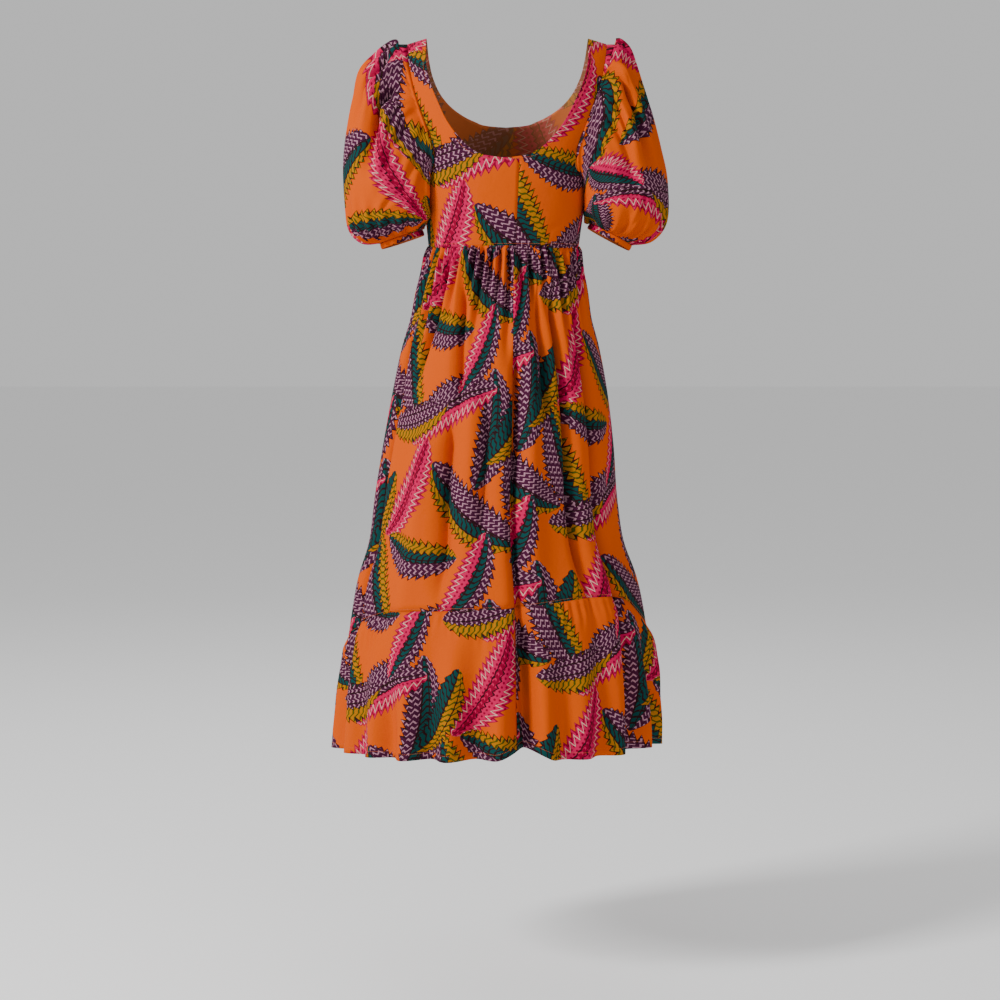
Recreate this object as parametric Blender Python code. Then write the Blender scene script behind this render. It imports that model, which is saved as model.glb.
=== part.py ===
"""A puff sleeve midi dress in its hollow worn form, as thin cloth walls.

Metres, +Z up. The garment's front faces -Y and its back faces +Y. The origin lies midway
between the two shoulder straps, where they rest on the shoulders.
"""
import math

import bmesh
import bpy
import numpy as np

# Cloth and seams.
WALL = 0.0013
SEAM_GAP = 0.0003

# Levels and widths.
WAIST_Z = -0.339
UNDERARM_Z = -0.236
SHOULDER_MIDDLE = 0.149
SHOULDER_SLOPE = 0.30
SHOULDER_ARCH = 0.070
LEAN = 0.006
TORSO_ROUNDNESS = 2.3
SKIRT_ROUNDNESS = 2.05
SLEEVE_ROUNDNESS = 2.25
BACK_SEAM_TURN = -0.0195
SLEEVE_CLEARANCE = 0.0045
CUFF_HEIGHT = 0.009

# Gathers and waves, counted all round, with half their height from trough to crest.
WAIST_PUCKERS = 60
WAIST_PUCKER_AT_SEAM = 0.0010
WAIST_PUCKER_BELOW = 0.0026
WAIST_PUCKER_LENGTH = 0.050
WAIST_PUCKER_SPREAD = 0.009
RUFFLE_WAVES = 22
RUFFLE_WAVE = 0.0135
RUFFLE_UNEVEN = 0.35
RUFFLE_LIFT = 0.006
SEAM_SWAYS = 9
SEAM_SWAY = 0.004
CAP_PUCKERS = 12
CAP_PUCKER = 0.0038
SLEEVE_PUCKERS = 14
SLEEVE_PUCKER = 0.0036
ARMHOLE_STEPS = 22
CAP_STEPS = 7

# Mean radius of the skirt at the side seams, for the gaps there.
SEAM_RADIUS = 0.2
TAU = 2 * math.pi
CAP_ANGLE = TAU * CAP_STEPS / ARMHOLE_STEPS

# Torso sections: height, half width, depth to the back, depth to the front.
TORSO = np.array([
    (0.010, 0.176, 0.066, 0.050),
    (-0.050, 0.178, 0.074, 0.064),
    (-0.100, 0.170, 0.084, 0.082),
    (-0.150, 0.158, 0.092, 0.106),
    (-0.200, 0.145, 0.095, 0.126),
    (-0.236, 0.139, 0.094, 0.132),
    (-0.290, 0.131, 0.089, 0.116),
    (-0.339, 0.125, 0.085, 0.095),
])

# Skirt sections: height, half width, depth to the back, depth to the front, centre's shift.
SKIRT = np.array([
    (-0.339, 0.126, 0.086, 0.096, 0.0060),
    (-0.380, 0.134, 0.096, 0.103, 0.0075),
    (-0.420, 0.143, 0.109, 0.110, 0.0090),
    (-0.460, 0.151, 0.121, 0.117, 0.0100),
    (-0.504, 0.164, 0.131, 0.124, 0.0115),
    (-0.578, 0.179, 0.143, 0.134, 0.0130),
    (-0.672, 0.193, 0.155, 0.148, 0.0165),
    (-0.768, 0.204, 0.169, 0.163, 0.0210),
    (-0.832, 0.213, 0.180, 0.174, 0.0205),
    (-0.892, 0.233, 0.192, 0.185, 0.0190),
    (-0.952, 0.245, 0.204, 0.196, 0.0180),
    (-1.010, 0.253, 0.214, 0.206, 0.0180),
    (-1.074, 0.259, 0.224, 0.216, 0.0180),
    (-1.122, 0.260, 0.231, 0.223, 0.0175),
    (-1.200, 0.264, 0.236, 0.228, 0.0190),
])

# Edges of the bodice on each side: height, half width.
NECK_BACK = np.array([
    (0.0045, 0.134),
    (-0.025, 0.134),
    (-0.070, 0.126),
    (-0.102, 0.113),
    (-0.138, 0.095),
    (-0.165, 0.074),
    (-0.182, 0.055),
    (-0.193, 0.030),
    (-0.197, 0.000),
])
NECK_FRONT = np.array([
    (0.0045, 0.134),
    (-0.030, 0.130),
    (-0.060, 0.122),
    (-0.090, 0.105),
    (-0.112, 0.080),
    (-0.126, 0.052),
    (-0.133, 0.027),
    (-0.135, 0.000),
])
ARMHOLE_BACK = np.array([
    (-0.0048, 0.165),
    (-0.040, 0.161),
    (-0.080, 0.152),
    (-0.110, 0.142),
    (-0.145, 0.129),
    (-0.175, 0.119),
    (-0.203, 0.116),
    (-0.222, 0.122),
    (-0.232, 0.131),
    (-0.236, 0.139),
])
ARMHOLE_FRONT = np.array([
    (-0.0048, 0.165),
    (-0.040, 0.158),
    (-0.080, 0.146),
    (-0.115, 0.134),
    (-0.150, 0.123),
    (-0.180, 0.116),
    (-0.205, 0.115),
    (-0.222, 0.121),
    (-0.232, 0.131),
    (-0.236, 0.139),
])

# Seam and hem levels round the skirt: turn (0 back, 0.25 left side, 0.5 front), ruffle seam, hem.
LEVELS = np.array([
    (0.000, -0.926, -1.164),
    (0.060, -0.930, -1.168),
    (0.120, -0.936, -1.172),
    (0.180, -0.960, -1.176),
    (0.250, -1.000, -1.180),
    (0.330, -0.985, -1.182),
    (0.500, -0.965, -1.184),
    (0.670, -0.962, -1.182),
    (0.750, -0.972, -1.176),
    (0.820, -0.922, -1.166),
    (0.880, -0.912, -1.168),
    (0.940, -0.918, -1.168),
    (0.970, -0.922, -1.150),
    (1.000, -0.926, -1.164),
])

# Large folds of the skirt: turn at the top and bottom, start, end, half width in m, height in m.
SKIRT_FOLDS = np.array([
    (0.115, 0.150, 0.02, 0.42, 0.010, -0.013),
    (0.078, 0.052, 0.06, 0.50, 0.009, -0.011),
    (0.068, 0.062, 0.45, 1.00, 0.014, -0.013),
    (0.016, 0.014, 0.40, 0.85, 0.010, -0.009),
    (-0.024, -0.024, 0.25, 1.30, 0.011, -0.016),
    (-0.066, -0.070, 0.08, 0.55, 0.009, -0.011),
    (-0.096, -0.112, 0.10, 1.05, 0.010, -0.016),
    (-0.045, -0.048, 0.20, 1.00, 0.013, 0.008),
    (0.038, 0.030, 0.30, 1.10, 0.016, 0.008),
    (0.105, 0.108, 0.45, 1.20, 0.018, 0.009),
    (-0.150, -0.165, 0.15, 1.15, 0.015, -0.015),
    (0.190, 0.200, 0.20, 1.15, 0.015, -0.015),
    (0.300, 0.296, 0.10, 1.10, 0.014, -0.015),
    (0.372, 0.380, 0.05, 0.90, 0.012, -0.013),
    (0.436, 0.430, 0.15, 1.15, 0.014, -0.015),
    (0.500, 0.505, 0.08, 0.80, 0.012, -0.012),
    (0.560, 0.570, 0.12, 1.10, 0.013, -0.015),
    (0.630, 0.622, 0.05, 0.95, 0.012, -0.013),
    (0.700, 0.706, 0.15, 1.15, 0.014, -0.015),
])

# Folds of the ruffle: turn, start, full depth, end, half width in m, height in m.
RUFFLE_FOLDS = np.array([
    (-0.030, 0.00, 0.30, 1.50, 0.013, -0.024),
    (0.770, 0.02, 0.20, 0.65, 0.045, 0.006),
    (0.750, 0.78, 1.00, 1.50, 0.022, -0.018),
])

# Sleeve rings: outer x, outer z, inner x, inner z, half depth. The first stands for the armhole,
# and the rings after it keep a share of how the armhole differs from it.
ARMHOLE_RING = (0.167, -0.004, 0.139, -0.236, 0.062)
ARMHOLE_SHARES = (0.80, 0.50, 0.25, 0.10)
LEFT_RINGS = np.array([
    (0.188, 0.002, 0.126, -0.237, 0.062),
    (0.214, -0.020, 0.113, -0.239, 0.070),
    (0.241, -0.050, 0.103, -0.243, 0.079),
    (0.252, -0.095, 0.095, -0.248, 0.086),
    (0.260, -0.140, 0.089, -0.254, 0.090),
    (0.266, -0.185, 0.087, -0.261, 0.092),
    (0.267, -0.228, 0.089, -0.268, 0.091),
    (0.263, -0.270, 0.094, -0.277, 0.086),
    (0.255, -0.310, 0.104, -0.290, 0.076),
    (0.235, -0.330, 0.120, -0.303, 0.061),
    (0.206, -0.334, 0.136, -0.311, 0.044),
])
RIGHT_RINGS = np.array([
    (0.186, 0.005, 0.131, -0.238, 0.062),
    (0.205, -0.011, 0.127, -0.243, 0.070),
    (0.222, -0.050, 0.124, -0.248, 0.079),
    (0.238, -0.090, 0.121, -0.253, 0.086),
    (0.251, -0.132, 0.119, -0.259, 0.090),
    (0.262, -0.176, 0.118, -0.265, 0.092),
    (0.272, -0.221, 0.119, -0.271, 0.091),
    (0.274, -0.264, 0.122, -0.278, 0.086),
    (0.268, -0.301, 0.127, -0.286, 0.076),
    (0.247, -0.326, 0.135, -0.294, 0.061),
    (0.214, -0.337, 0.145, -0.300, 0.044),
])

# Large folds of the sleeves: angle in degrees, start, end, half width in degrees, height in m.
LEFT_SLEEVE_FOLDS = np.array([
    (60, 0.05, 0.66, 10, -0.021),
    (28, 0.08, 0.54, 9, -0.012),
    (92, 0.10, 0.74, 10, -0.009),
    (118, 0.15, 0.84, 9, -0.006),
    (-34, 0.06, 0.58, 10, -0.013),
    (-66, 0.08, 0.70, 10, -0.016),
    (-100, 0.12, 0.78, 10, -0.008),
])
RIGHT_SLEEVE_FOLDS = np.array([
    (22, 0.05, 0.54, 9, -0.012),
    (48, 0.12, 0.68, 10, -0.015),
    (80, 0.10, 0.76, 10, -0.010),
    (110, 0.15, 0.84, 9, -0.007),
    (-30, 0.06, 0.56, 10, -0.013),
    (-62, 0.08, 0.70, 10, -0.016),
    (-98, 0.12, 0.78, 10, -0.008),
])

# Columns of each panel, and the step for the normals at its seams.
SEAM_STEP = 0.001
SKIRT_LEFT_COLUMNS = 64
SKIRT_RIGHT_COLUMNS = 56
SKIRT_FRONT_COLUMNS = 120
SKIRT_FINE_DROPS = (0.0, 0.010, 0.028)
SKIRT_PUCKER_END = 0.060
SKIRT_COARSE_ROWS = 7
RUFFLE_LEFT_COLUMNS = 36
RUFFLE_RIGHT_COLUMNS = 30
RUFFLE_FRONT_COLUMNS = 66
RUFFLE_ROWS = 3
BODICE_LOWER_ROWS = 5
BODICE_UPPER_ROWS = ARMHOLE_STEPS // 2
BODICE_COLUMNS = 9
ROW_BEND = 2.6
CAP_COLUMNS = 21
UNDERARM_COLUMNS = 8
SPACING_STEPS = 81
RELAX_REACH = 0.35
RELAX_START = 0.05
RELAX_GROWTH = 0.15
RELAX_ROUNDS = 8
SLEEVE_PARTS = (0, 0.06, 0.15, 0.24, 0.35, 0.46, 0.57, 0.69, 0.80, 0.90, 1)

# Colours and finish of the cloth.
CLOTH_ORANGE = (0.745, 0.150, 0.004, 1.0)
BAND_ORANGE = (0.640, 0.110, 0.006, 1.0)
CLOTH_ROUGHNESS = 0.72
SHARP_ANGLE = math.radians(55)


def table(rows, value, column):
    """One column of a table at a value of its first column, joined by smooth curves."""
    keys = rows[:, 0]
    data = rows[:, column]
    if keys[0] > keys[-1]:
        keys = keys[::-1]
        data = data[::-1]
    steps = np.diff(keys)
    slopes = np.diff(data) / steps
    tangents = np.empty_like(data)
    tangents[0] = slopes[0]
    tangents[-1] = slopes[-1]
    tangents[1:-1] = np.where(slopes[1:] * slopes[:-1] > 0, (slopes[1:] + slopes[:-1]) / 2, 0)
    value = np.clip(value, keys[0], keys[-1])
    at = np.clip(np.searchsorted(keys, value) - 1, 0, len(keys) - 2)
    size = steps[at]
    t = (value - keys[at]) / size
    rise = data[at + 1] * (3 * t**2 - 2 * t**3) + data[at] * (1 - 3 * t**2 + 2 * t**3)
    return rise + size * (tangents[at] * (t - 2 * t**2 + t**3) + tangents[at + 1] * (t**3 - t**2))


def smooth(t):
    """A soft step from 0 to 1."""
    t = np.clip(t, 0, 1)
    return t * t * (3 - 2 * t)


def lean(z):
    """How far the body's centre line lies from the straps' middle."""
    return LEAN * np.clip(z / WAIST_Z, 0, 1)


def wrap(turn):
    """A turn brought between -0.5 and 0.5."""
    return np.mod(turn + 0.5, 1.0) - 0.5


def wrap_angle(angle):
    """An angle brought between minus and plus half a turn."""
    return np.mod(angle + math.pi, TAU) - math.pi


def torso_point(angle, z):
    """A point of the bodice's cloth, by its angle from the back and its height."""
    half = table(TORSO, z, 1)
    back = table(TORSO, z, 2)
    front = table(TORSO, z, 3)
    power = 2 / TORSO_ROUNDNESS
    x = half * np.sign(np.sin(angle)) * np.abs(np.sin(angle))**power
    depth = np.where(np.cos(angle) >= 0, back, -front)
    y = depth * np.abs(np.cos(angle))**power
    top = -SHOULDER_SLOPE * (np.abs(x) - SHOULDER_MIDDLE)
    up = np.clip(1 + (z - top) / SHOULDER_ARCH, 0, 1)
    y = y * np.sqrt(1 - up**2)
    return np.stack([x + lean(z), y, z + 0 * x], axis=-1)


def torso_angle(x, z):
    """The angle from the back at which the bodice's cloth has a half width."""
    share = np.clip(np.abs(x) / table(TORSO, z, 1), 0, 1)
    return np.sign(x) * np.arcsin(share**(TORSO_ROUNDNESS / 2))


def across(first, second):
    """Unit normals from two directions along a surface."""
    cross = np.cross(first, second)
    return cross / np.linalg.norm(cross, axis=-1, keepdims=True)


def torso_normal(angle, z):
    """The outward direction of the bodice's cloth."""
    step = 0.004
    drop = 0.0004
    round_way = torso_point(angle + step, z) - torso_point(angle - step, z)
    up_way = torso_point(angle, z) - torso_point(angle, z - drop)
    return across(up_way, round_way)


def walk(curve, count):
    """Points at equal distances along a curve, as fractions of its rows."""
    steps = np.linalg.norm(np.diff(curve, axis=0), axis=1)
    run = np.concatenate([[0], np.cumsum(steps)])
    return np.interp(np.linspace(0, run[-1], count), run, np.linspace(0, 1, len(run)))


def edge_run(rows, facing, count):
    """Angles and heights down an edge of the bodice, from the shoulder, for the left side."""
    fine = np.linspace(0, 1, 400)**1.6
    z = rows[0, 0] + (rows[-1, 0] - rows[0, 0]) * fine
    share = table(rows, z, 1)
    share[-1] = rows[-1, 1]
    angle = torso_angle(share, z)
    if facing < 0:
        angle = math.pi - angle
    curve = torso_point(angle, z)
    at = walk(curve, count)
    places = np.linspace(0, 1, 400)
    return np.interp(at, places, angle), np.interp(at, places, z)


def bodice_side(neck, armhole, facing, centre_angle, columns):
    """Angles and heights of a bodice panel's grid on the left side, waist row first."""
    upper = BODICE_UPPER_ROWS + 1
    neck_angle, neck_z = edge_run(neck, facing, upper)
    arm_angle, arm_z = edge_run(armhole, facing, upper)
    side_angle = math.pi / 2
    low_z = WAIST_Z + SEAM_GAP / 2
    lower = np.linspace(0, 1, BODICE_LOWER_ROWS + 1)[:-1]
    neck_low = neck[-1, 0]
    inner_z = np.concatenate([low_z + (neck_low - low_z) * lower, neck_z[::-1]])
    outer_z = np.concatenate([low_z + (UNDERARM_Z - low_z) * lower, arm_z[::-1]])
    inner_angle = np.concatenate([np.full(len(lower), centre_angle), neck_angle[::-1]])
    outer_angle = np.concatenate([np.full(len(lower), side_angle), arm_angle[::-1]])
    inner_angle[BODICE_LOWER_ROWS] = centre_angle
    outer_angle[BODICE_LOWER_ROWS] = side_angle
    t = np.linspace(0, 1, columns + 1)
    row = np.arange(len(inner_z))
    rise = row / BODICE_LOWER_ROWS
    fade = (len(row) - 1 - row) / (len(row) - 1 - BODICE_LOWER_ROWS)
    bend = np.clip(np.minimum(rise, fade), 0, 1)[:, None]
    early = (1 - bend) * t + bend * (1 - (1 - t)**ROW_BEND)
    angle = inner_angle[:, None] * (1 - t) + outer_angle[:, None] * t
    z = inner_z[:, None] * (1 - early) + outer_z[:, None] * early
    return angle, z


def skirt_base(turn, z):
    """A point of the skirt's hang, without its folds."""
    angle = TAU * turn
    power = 2 / SKIRT_ROUNDNESS
    half = table(SKIRT, z, 1)
    depth = np.where(np.cos(angle) >= 0, table(SKIRT, z, 2), -table(SKIRT, z, 3))
    x = half * np.sign(np.sin(angle)) * np.abs(np.sin(angle))**power
    y = depth * np.abs(np.cos(angle))**power
    return np.stack([x + table(SKIRT, z, 4), y, z + 0 * x], axis=-1)


def outward(turn):
    """The level outward direction of the skirt."""
    return np.stack([np.sin(TAU * turn), np.cos(TAU * turn), 0 * turn], axis=-1)


def level(turn, column):
    """The ruffle seam's or the hem's height at a turn."""
    return table(LEVELS, np.mod(turn, 1.0), column)


def fold_height(turn, fall, half_round):
    """The height of the skirt's large folds, where fall runs from 0 at the waist to 1."""
    total = 0 * turn
    for top, bottom, start, end, half, height in SKIRT_FOLDS:
        part = np.clip((fall - start) / (end - start), 0, 1)
        middle = top + (bottom - top) * part
        away = wrap(turn - middle) * TAU * half_round
        spread = half * (0.8 + 0.7 * part)
        shape = smooth((fall - start) / 0.12) * smooth((end - fall) / 0.15)
        total = total + height * shape * np.exp(-(away / spread)**2)
    return total


def seam_sway(turn):
    """The slow sway of the cloth at the ruffle seam."""
    return SEAM_SWAY * np.cos(TAU * SEAM_SWAYS * turn + 1.3)


def waist_pucker(turn, drop):
    """The height of the waist's gathers at a distance below the seam."""
    wave = np.cos(TAU * WAIST_PUCKERS * (turn - BACK_SEAM_TURN))
    length = WAIST_PUCKER_LENGTH + WAIST_PUCKER_SPREAD * np.sin(TAU * 7 * turn + 0.6)
    growth = smooth(drop / 0.010)
    size = WAIST_PUCKER_AT_SEAM + (WAIST_PUCKER_BELOW - WAIST_PUCKER_AT_SEAM) * growth
    return size * wave * (1 - smooth(drop / length))


def skirt_point(turn, fall):
    """A point of the upper skirt, where fall runs from 0 at the waist to 1 at the ruffle."""
    top = WAIST_Z - SEAM_GAP / 2
    z = top + (level(turn, 1) + SEAM_GAP / 2 - top) * fall
    drop = top - z
    height = fold_height(turn, fall, table(SKIRT, z, 1)) + waist_pucker(turn, drop)
    height = height + seam_sway(turn) * smooth(fall)
    return skirt_base(turn, z) + outward(turn) * height[..., None]


def ruffle_wave(turn):
    """The ruffle's waves, from -1 to 1, unevenly spaced."""
    drift = 0.30 * np.sin(TAU * 3 * turn + 1.0) + 0.22 * np.sin(TAU * 5 * turn + 2.2)
    return np.cos(TAU * RUFFLE_WAVES * turn + drift)


def ruffle_point(turn, fall):
    """A point of the ruffle, where fall runs from 0 at its seam to 1 at the hem."""
    seam = level(turn, 1) - SEAM_GAP / 2
    z = seam + (level(turn, 2) - seam) * fall
    start = fold_height(turn, 1.0 + 0 * turn, table(SKIRT, level(turn, 1), 1))
    uneven = 1 + RUFFLE_UNEVEN * np.sin(TAU * 4 * turn + 0.5)
    height = (start + seam_sway(turn)) * (1 - smooth(fall))
    height = height + RUFFLE_WAVE * uneven * smooth(fall / 0.9) * ruffle_wave(turn)
    for middle, begin, full, end, half, size in RUFFLE_FOLDS:
        away = wrap(turn - middle) * TAU * table(SKIRT, z, 1)
        shape = smooth((fall - begin) / (full - begin)) * smooth((end - fall) / 0.3)
        height = height + size * shape * np.exp(-(away / half)**2)
    height = height + RUFFLE_LIFT * smooth(fall / 0.12) * (1 - 0.5 * smooth(fall))
    return skirt_base(turn, z) + outward(turn) * height[..., None]


def sheet_normal(point_of, turn, fall, turn_step):
    """The outward direction of the skirt or ruffle, with its columns' spacing."""
    tiny = 0.004
    round_way = point_of(turn + turn_step, fall) - point_of(turn - turn_step, fall)
    low = np.clip(fall + tiny, 0, 1)
    high = np.clip(fall - tiny, 0, 1)
    down_way = point_of(turn, low) - point_of(turn, high)
    normal = across(round_way, down_way)
    facing = np.sum(normal * outward(turn), axis=-1, keepdims=True)
    return normal * np.sign(facing)


def level_out(normals):
    """Normals turned level, so that the edge they end in lies level."""
    flat = normals * np.array([1.0, 1.0, 0.0])
    return flat / np.linalg.norm(flat, axis=-1, keepdims=True)


def hem_panel(point_of, first, last, counts, falls):
    """Rows of points and normals of a skirt or ruffle panel between two seams."""
    rows = []
    normals = []
    for fall, count in zip(falls, counts):
        turn = np.linspace(first, last, count + 1)
        turn[0] += SEAM_GAP / 2 / (TAU * SEAM_RADIUS)
        turn[-1] -= SEAM_GAP / 2 / (TAU * SEAM_RADIUS)
        here = fall(turn) if callable(fall) else fall + 0 * turn
        step = (last - first) / count
        normal = sheet_normal(point_of, turn, here, step)
        normal[[0, -1]] = sheet_normal(point_of, turn, here, SEAM_STEP)[[0, -1]]
        rows.append(point_of(turn, here))
        normals.append(normal)
    normals[0] = level_out(normals[0])
    normals[-1] = level_out(normals[-1])
    return rows, normals


def strip(upper, lower):
    """Triangles between two rows of points, the lower as long as the upper or half of it."""
    faces = []
    if len(upper) == len(lower):
        for i in range(len(upper) - 1):
            faces.append((upper[i], lower[i], lower[i + 1]))
            faces.append((upper[i], lower[i + 1], upper[i + 1]))
        return faces
    for i in range(len(lower) - 1):
        left, middle, right = upper[2 * i:2 * i + 3]
        faces.append((left, lower[i], middle))
        faces.append((middle, lower[i], lower[i + 1]))
        faces.append((middle, lower[i + 1], right))
    return faces


def row_faces(rows, closed, start=0):
    """Triangles of a sheet given by its rows of points."""
    indices = []
    for row in rows:
        index = list(range(start, start + len(row)))
        indices.append(index + index[:1] if closed else index)
        start += len(row)
    faces = []
    for upper, lower in zip(indices[:-1], indices[1:]):
        faces += strip(upper, lower)
    return faces


def add_wall(name, points, normals, faces, colour):
    """A closed cloth wall on a sheet of triangles, half its thickness to each side."""
    count = len(points)
    both = np.concatenate([points + normals * WALL / 2, points - normals * WALL / 2])
    edges = {(face[k], face[(k + 1) % 3]) for face in faces for k in range(3)}
    walls = [(a, b, b + count, a + count) for a, b in edges if (b, a) not in edges]
    inner = [tuple(i + count for i in face[::-1]) for face in faces]
    mesh = bpy.data.meshes.new(name)
    mesh.from_pydata(both.tolist(), [], faces + inner + sorted(walls))
    work = bmesh.new()
    work.from_mesh(mesh)
    bmesh.ops.recalc_face_normals(work, faces=work.faces)
    work.to_mesh(mesh)
    work.free()
    mesh.shade_smooth()
    mesh.set_sharp_from_angle(angle=SHARP_ANGLE)
    mesh.materials.append(colour)
    thing = bpy.data.objects.new(name, mesh)
    bpy.context.scene.collection.objects.link(thing)
    return thing


def add_rows(name, rows, normals, closed, colour):
    """A closed cloth wall on rows of points."""
    return add_wall(name, np.concatenate(rows), np.concatenate(normals), row_faces(rows, closed), colour)


def cloth(name, colour):
    """A cloth material of one colour."""
    material = bpy.data.materials.new(name)
    material.use_nodes = True
    shader = material.node_tree.nodes["Principled BSDF"]
    shader.inputs["Base Color"].default_value = colour
    shader.inputs["Roughness"].default_value = CLOTH_ROUGHNESS
    shader.inputs["Metallic"].default_value = 0.0
    return material


def bodice_normals(angle, z):
    """Outward normals of a bodice grid."""
    normal = torso_normal(angle, z)
    away = torso_point(angle, z) - np.array([0.0, 0.0, WAIST_Z])
    away[..., 2] = 0.2 * np.clip(away[..., 2] - 0.2, 0, 1)
    sign = np.sign(np.sum(normal * away, axis=-1, keepdims=True))
    sign[sign == 0] = 1
    return normal * sign


def apart(points, facing):
    """Points of a bodice panel kept half a seam gap from the side and shoulder seams."""
    moved = points.copy()
    near = SEAM_GAP / 2
    moved[-1, :, 1] = 0
    moved[-1, :, 2] = -SHOULDER_SLOPE * (np.abs(moved[-1, :, 0]) - SHOULDER_MIDDLE)
    moved[..., 1] = facing * np.maximum(facing * moved[..., 1], near)
    return moved


def armhole_loop(angles, side):
    """The sleeve's first ring: just outside the armhole, from the shoulder round the back."""
    count = BODICE_UPPER_ROWS + 1
    back_angle, back_z = edge_run(ARMHOLE_BACK, 1, count)
    front_angle, front_z = edge_run(ARMHOLE_FRONT, -1, count)
    angle = np.concatenate([back_angle[:-1], front_angle[::-1][:-1]])
    z = np.concatenate([back_z[:-1], front_z[::-1][:-1]])
    loop = torso_point(angle, z)
    along = np.roll(loop, -1, axis=0) - np.roll(loop, 1, axis=0)
    out = np.cross(along, bodice_normals(angle, z))
    out = out / np.linalg.norm(out, axis=-1, keepdims=True)
    centre = loop.mean(axis=0)
    turned = np.sign(np.sum(out * (centre - loop), axis=-1, keepdims=True))
    loop = loop + out * turned * (SEAM_GAP + WALL / 2)
    if side < 0:
        loop[:, 0] = 2 * lean(loop[:, 2]) - loop[:, 0]
    share = np.mod(angles / TAU, 1.0)
    knots = np.linspace(0, 1, len(loop) + 1)
    wrapped = np.concatenate([loop, loop[:1]])
    return np.stack([np.interp(share, knots, wrapped[:, k]) for k in range(3)], axis=-1)


def clear_of_body(points):
    """Sleeve points moved out of the bodice and the top of the skirt, with a clearance."""
    moved = points.copy()
    for _ in range(12):
        z = np.clip(moved[..., 2], WAIST_Z - 0.06, 0)
        low = z < WAIST_Z
        half = np.where(low, table(SKIRT, z, 1), table(TORSO, z, 1)) + SLEEVE_CLEARANCE
        back = np.where(low, table(SKIRT, z, 2), table(TORSO, z, 2)) + SLEEVE_CLEARANCE
        front = np.where(low, table(SKIRT, z, 3), table(TORSO, z, 3)) + SLEEVE_CLEARANCE
        x = moved[..., 0] - lean(z)
        y = moved[..., 1]
        depth = np.where(y >= 0, back, front)
        power = TORSO_ROUNDNESS
        value = np.abs(x / half)**power + np.abs(y / depth)**power
        slope_x = power * np.sign(x) * np.abs(x)**(power - 1) / half**power
        slope_y = power * np.sign(y) * np.abs(y)**(power - 1) / depth**power
        size = slope_x**2 + slope_y**2 + 1e-9
        need = np.clip(1 - value, 0, None)
        moved[..., 0] += need * slope_x / size
        moved[..., 1] += need * slope_y / size
    return moved


def plain_ring(angles, side, sizes):
    """A rounded ring of a sleeve from its outer and inner ends and its half depth."""
    outer_x, outer_z, inner_x, inner_z, half_depth = sizes
    power = 2 / SLEEVE_ROUNDNESS
    c = np.sign(np.cos(angles)) * np.abs(np.cos(angles))**power
    s = np.sign(np.sin(angles)) * np.abs(np.sin(angles))**power
    x = (outer_x + inner_x) / 2 + (outer_x - inner_x) / 2 * c
    z = (outer_z + inner_z) / 2 + (outer_z - inner_z) / 2 * c
    return np.stack([side * x + LEAN, half_depth * s, z], axis=-1)


def sleeve_rings(angles, side):
    """All rings of a sleeve at given angles, from the armhole to the cuff."""
    armhole = armhole_loop(angles, side)
    difference = armhole - plain_ring(angles, side, ARMHOLE_RING)
    rings = [armhole]
    for number, sizes in enumerate(LEFT_RINGS if side > 0 else RIGHT_RINGS):
        share = ARMHOLE_SHARES[number] if number < len(ARMHOLE_SHARES) else 0
        rings.append(clear_of_body(plain_ring(angles, side, sizes) + difference * share))
    return np.array(rings)


def rings_between(rings, parts):
    """Rings at parts of the way from the armhole to the cuff, on smooth curves."""
    place = np.array(parts) * (len(rings) - 1)
    at = np.clip(place.astype(int), 0, len(rings) - 2)
    t = (place - at)[:, None, None]
    before = rings[np.clip(at - 1, 0, None)]
    start = rings[at]
    end = rings[at + 1]
    after = rings[np.clip(at + 2, None, len(rings) - 1)]
    bend = (2 * before - 5 * start + 4 * end - after) * t**2
    turn = (3 * start - before - 3 * end + after) * t**3
    return (2 * start + (end - before) * t + bend + turn) / 2


def spaced_rings(rings, parts):
    """Rings at parts of each column's own length, so that none bunch up at the underarm."""
    fine = rings_between(rings, np.linspace(0, 1, SPACING_STEPS))
    fine[1:] = clear_of_body(fine[1:])
    steps = np.linalg.norm(np.diff(fine, axis=0), axis=2)
    run = np.concatenate([np.zeros((1, steps.shape[1])), np.cumsum(steps, axis=0)])
    share = run / run[-1]
    spaced = np.empty((len(parts), fine.shape[1], 3))
    for column in range(fine.shape[1]):
        for axis in range(3):
            spaced[:, column, axis] = np.interp(parts, share[:, column], fine[:, column, axis])
    return spaced


def relaxed(grid, angles, parts):
    """Sleeve points evened out below the underarm, where the cloth turns sharply."""
    away = np.abs(wrap_angle(angles))[None, :] - CAP_ANGLE
    along = parts[:, None]
    weight = smooth((away + RELAX_REACH) / RELAX_REACH) * smooth((along - RELAX_START) / RELAX_GROWTH)
    weight = (weight * (1 - smooth((along - 0.45) / 0.3)))[1:-1, :, None]
    for _ in range(RELAX_ROUNDS):
        round_way = np.roll(grid, 1, axis=1) + np.roll(grid, -1, axis=1)
        mean = (round_way[1:-1] + grid[:-2] + grid[2:]) / 4
        grid[1:-1] += (mean - grid[1:-1]) * weight
        grid[1:] = clear_of_body(grid[1:])
    return grid


def pucker_count(angles):
    """The number of sleeve puckers passed from the top of the sleeve to an angle."""
    away = wrap_angle(angles)
    rest = math.pi - CAP_ANGLE
    inside = np.clip(np.abs(away), 0, CAP_ANGLE) / CAP_ANGLE * CAP_PUCKERS / 2
    outside = np.clip(np.abs(away) - CAP_ANGLE, 0, rest) / rest * (SLEEVE_PUCKERS - CAP_PUCKERS) / 2
    return np.sign(away) * (inside + outside)


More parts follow.
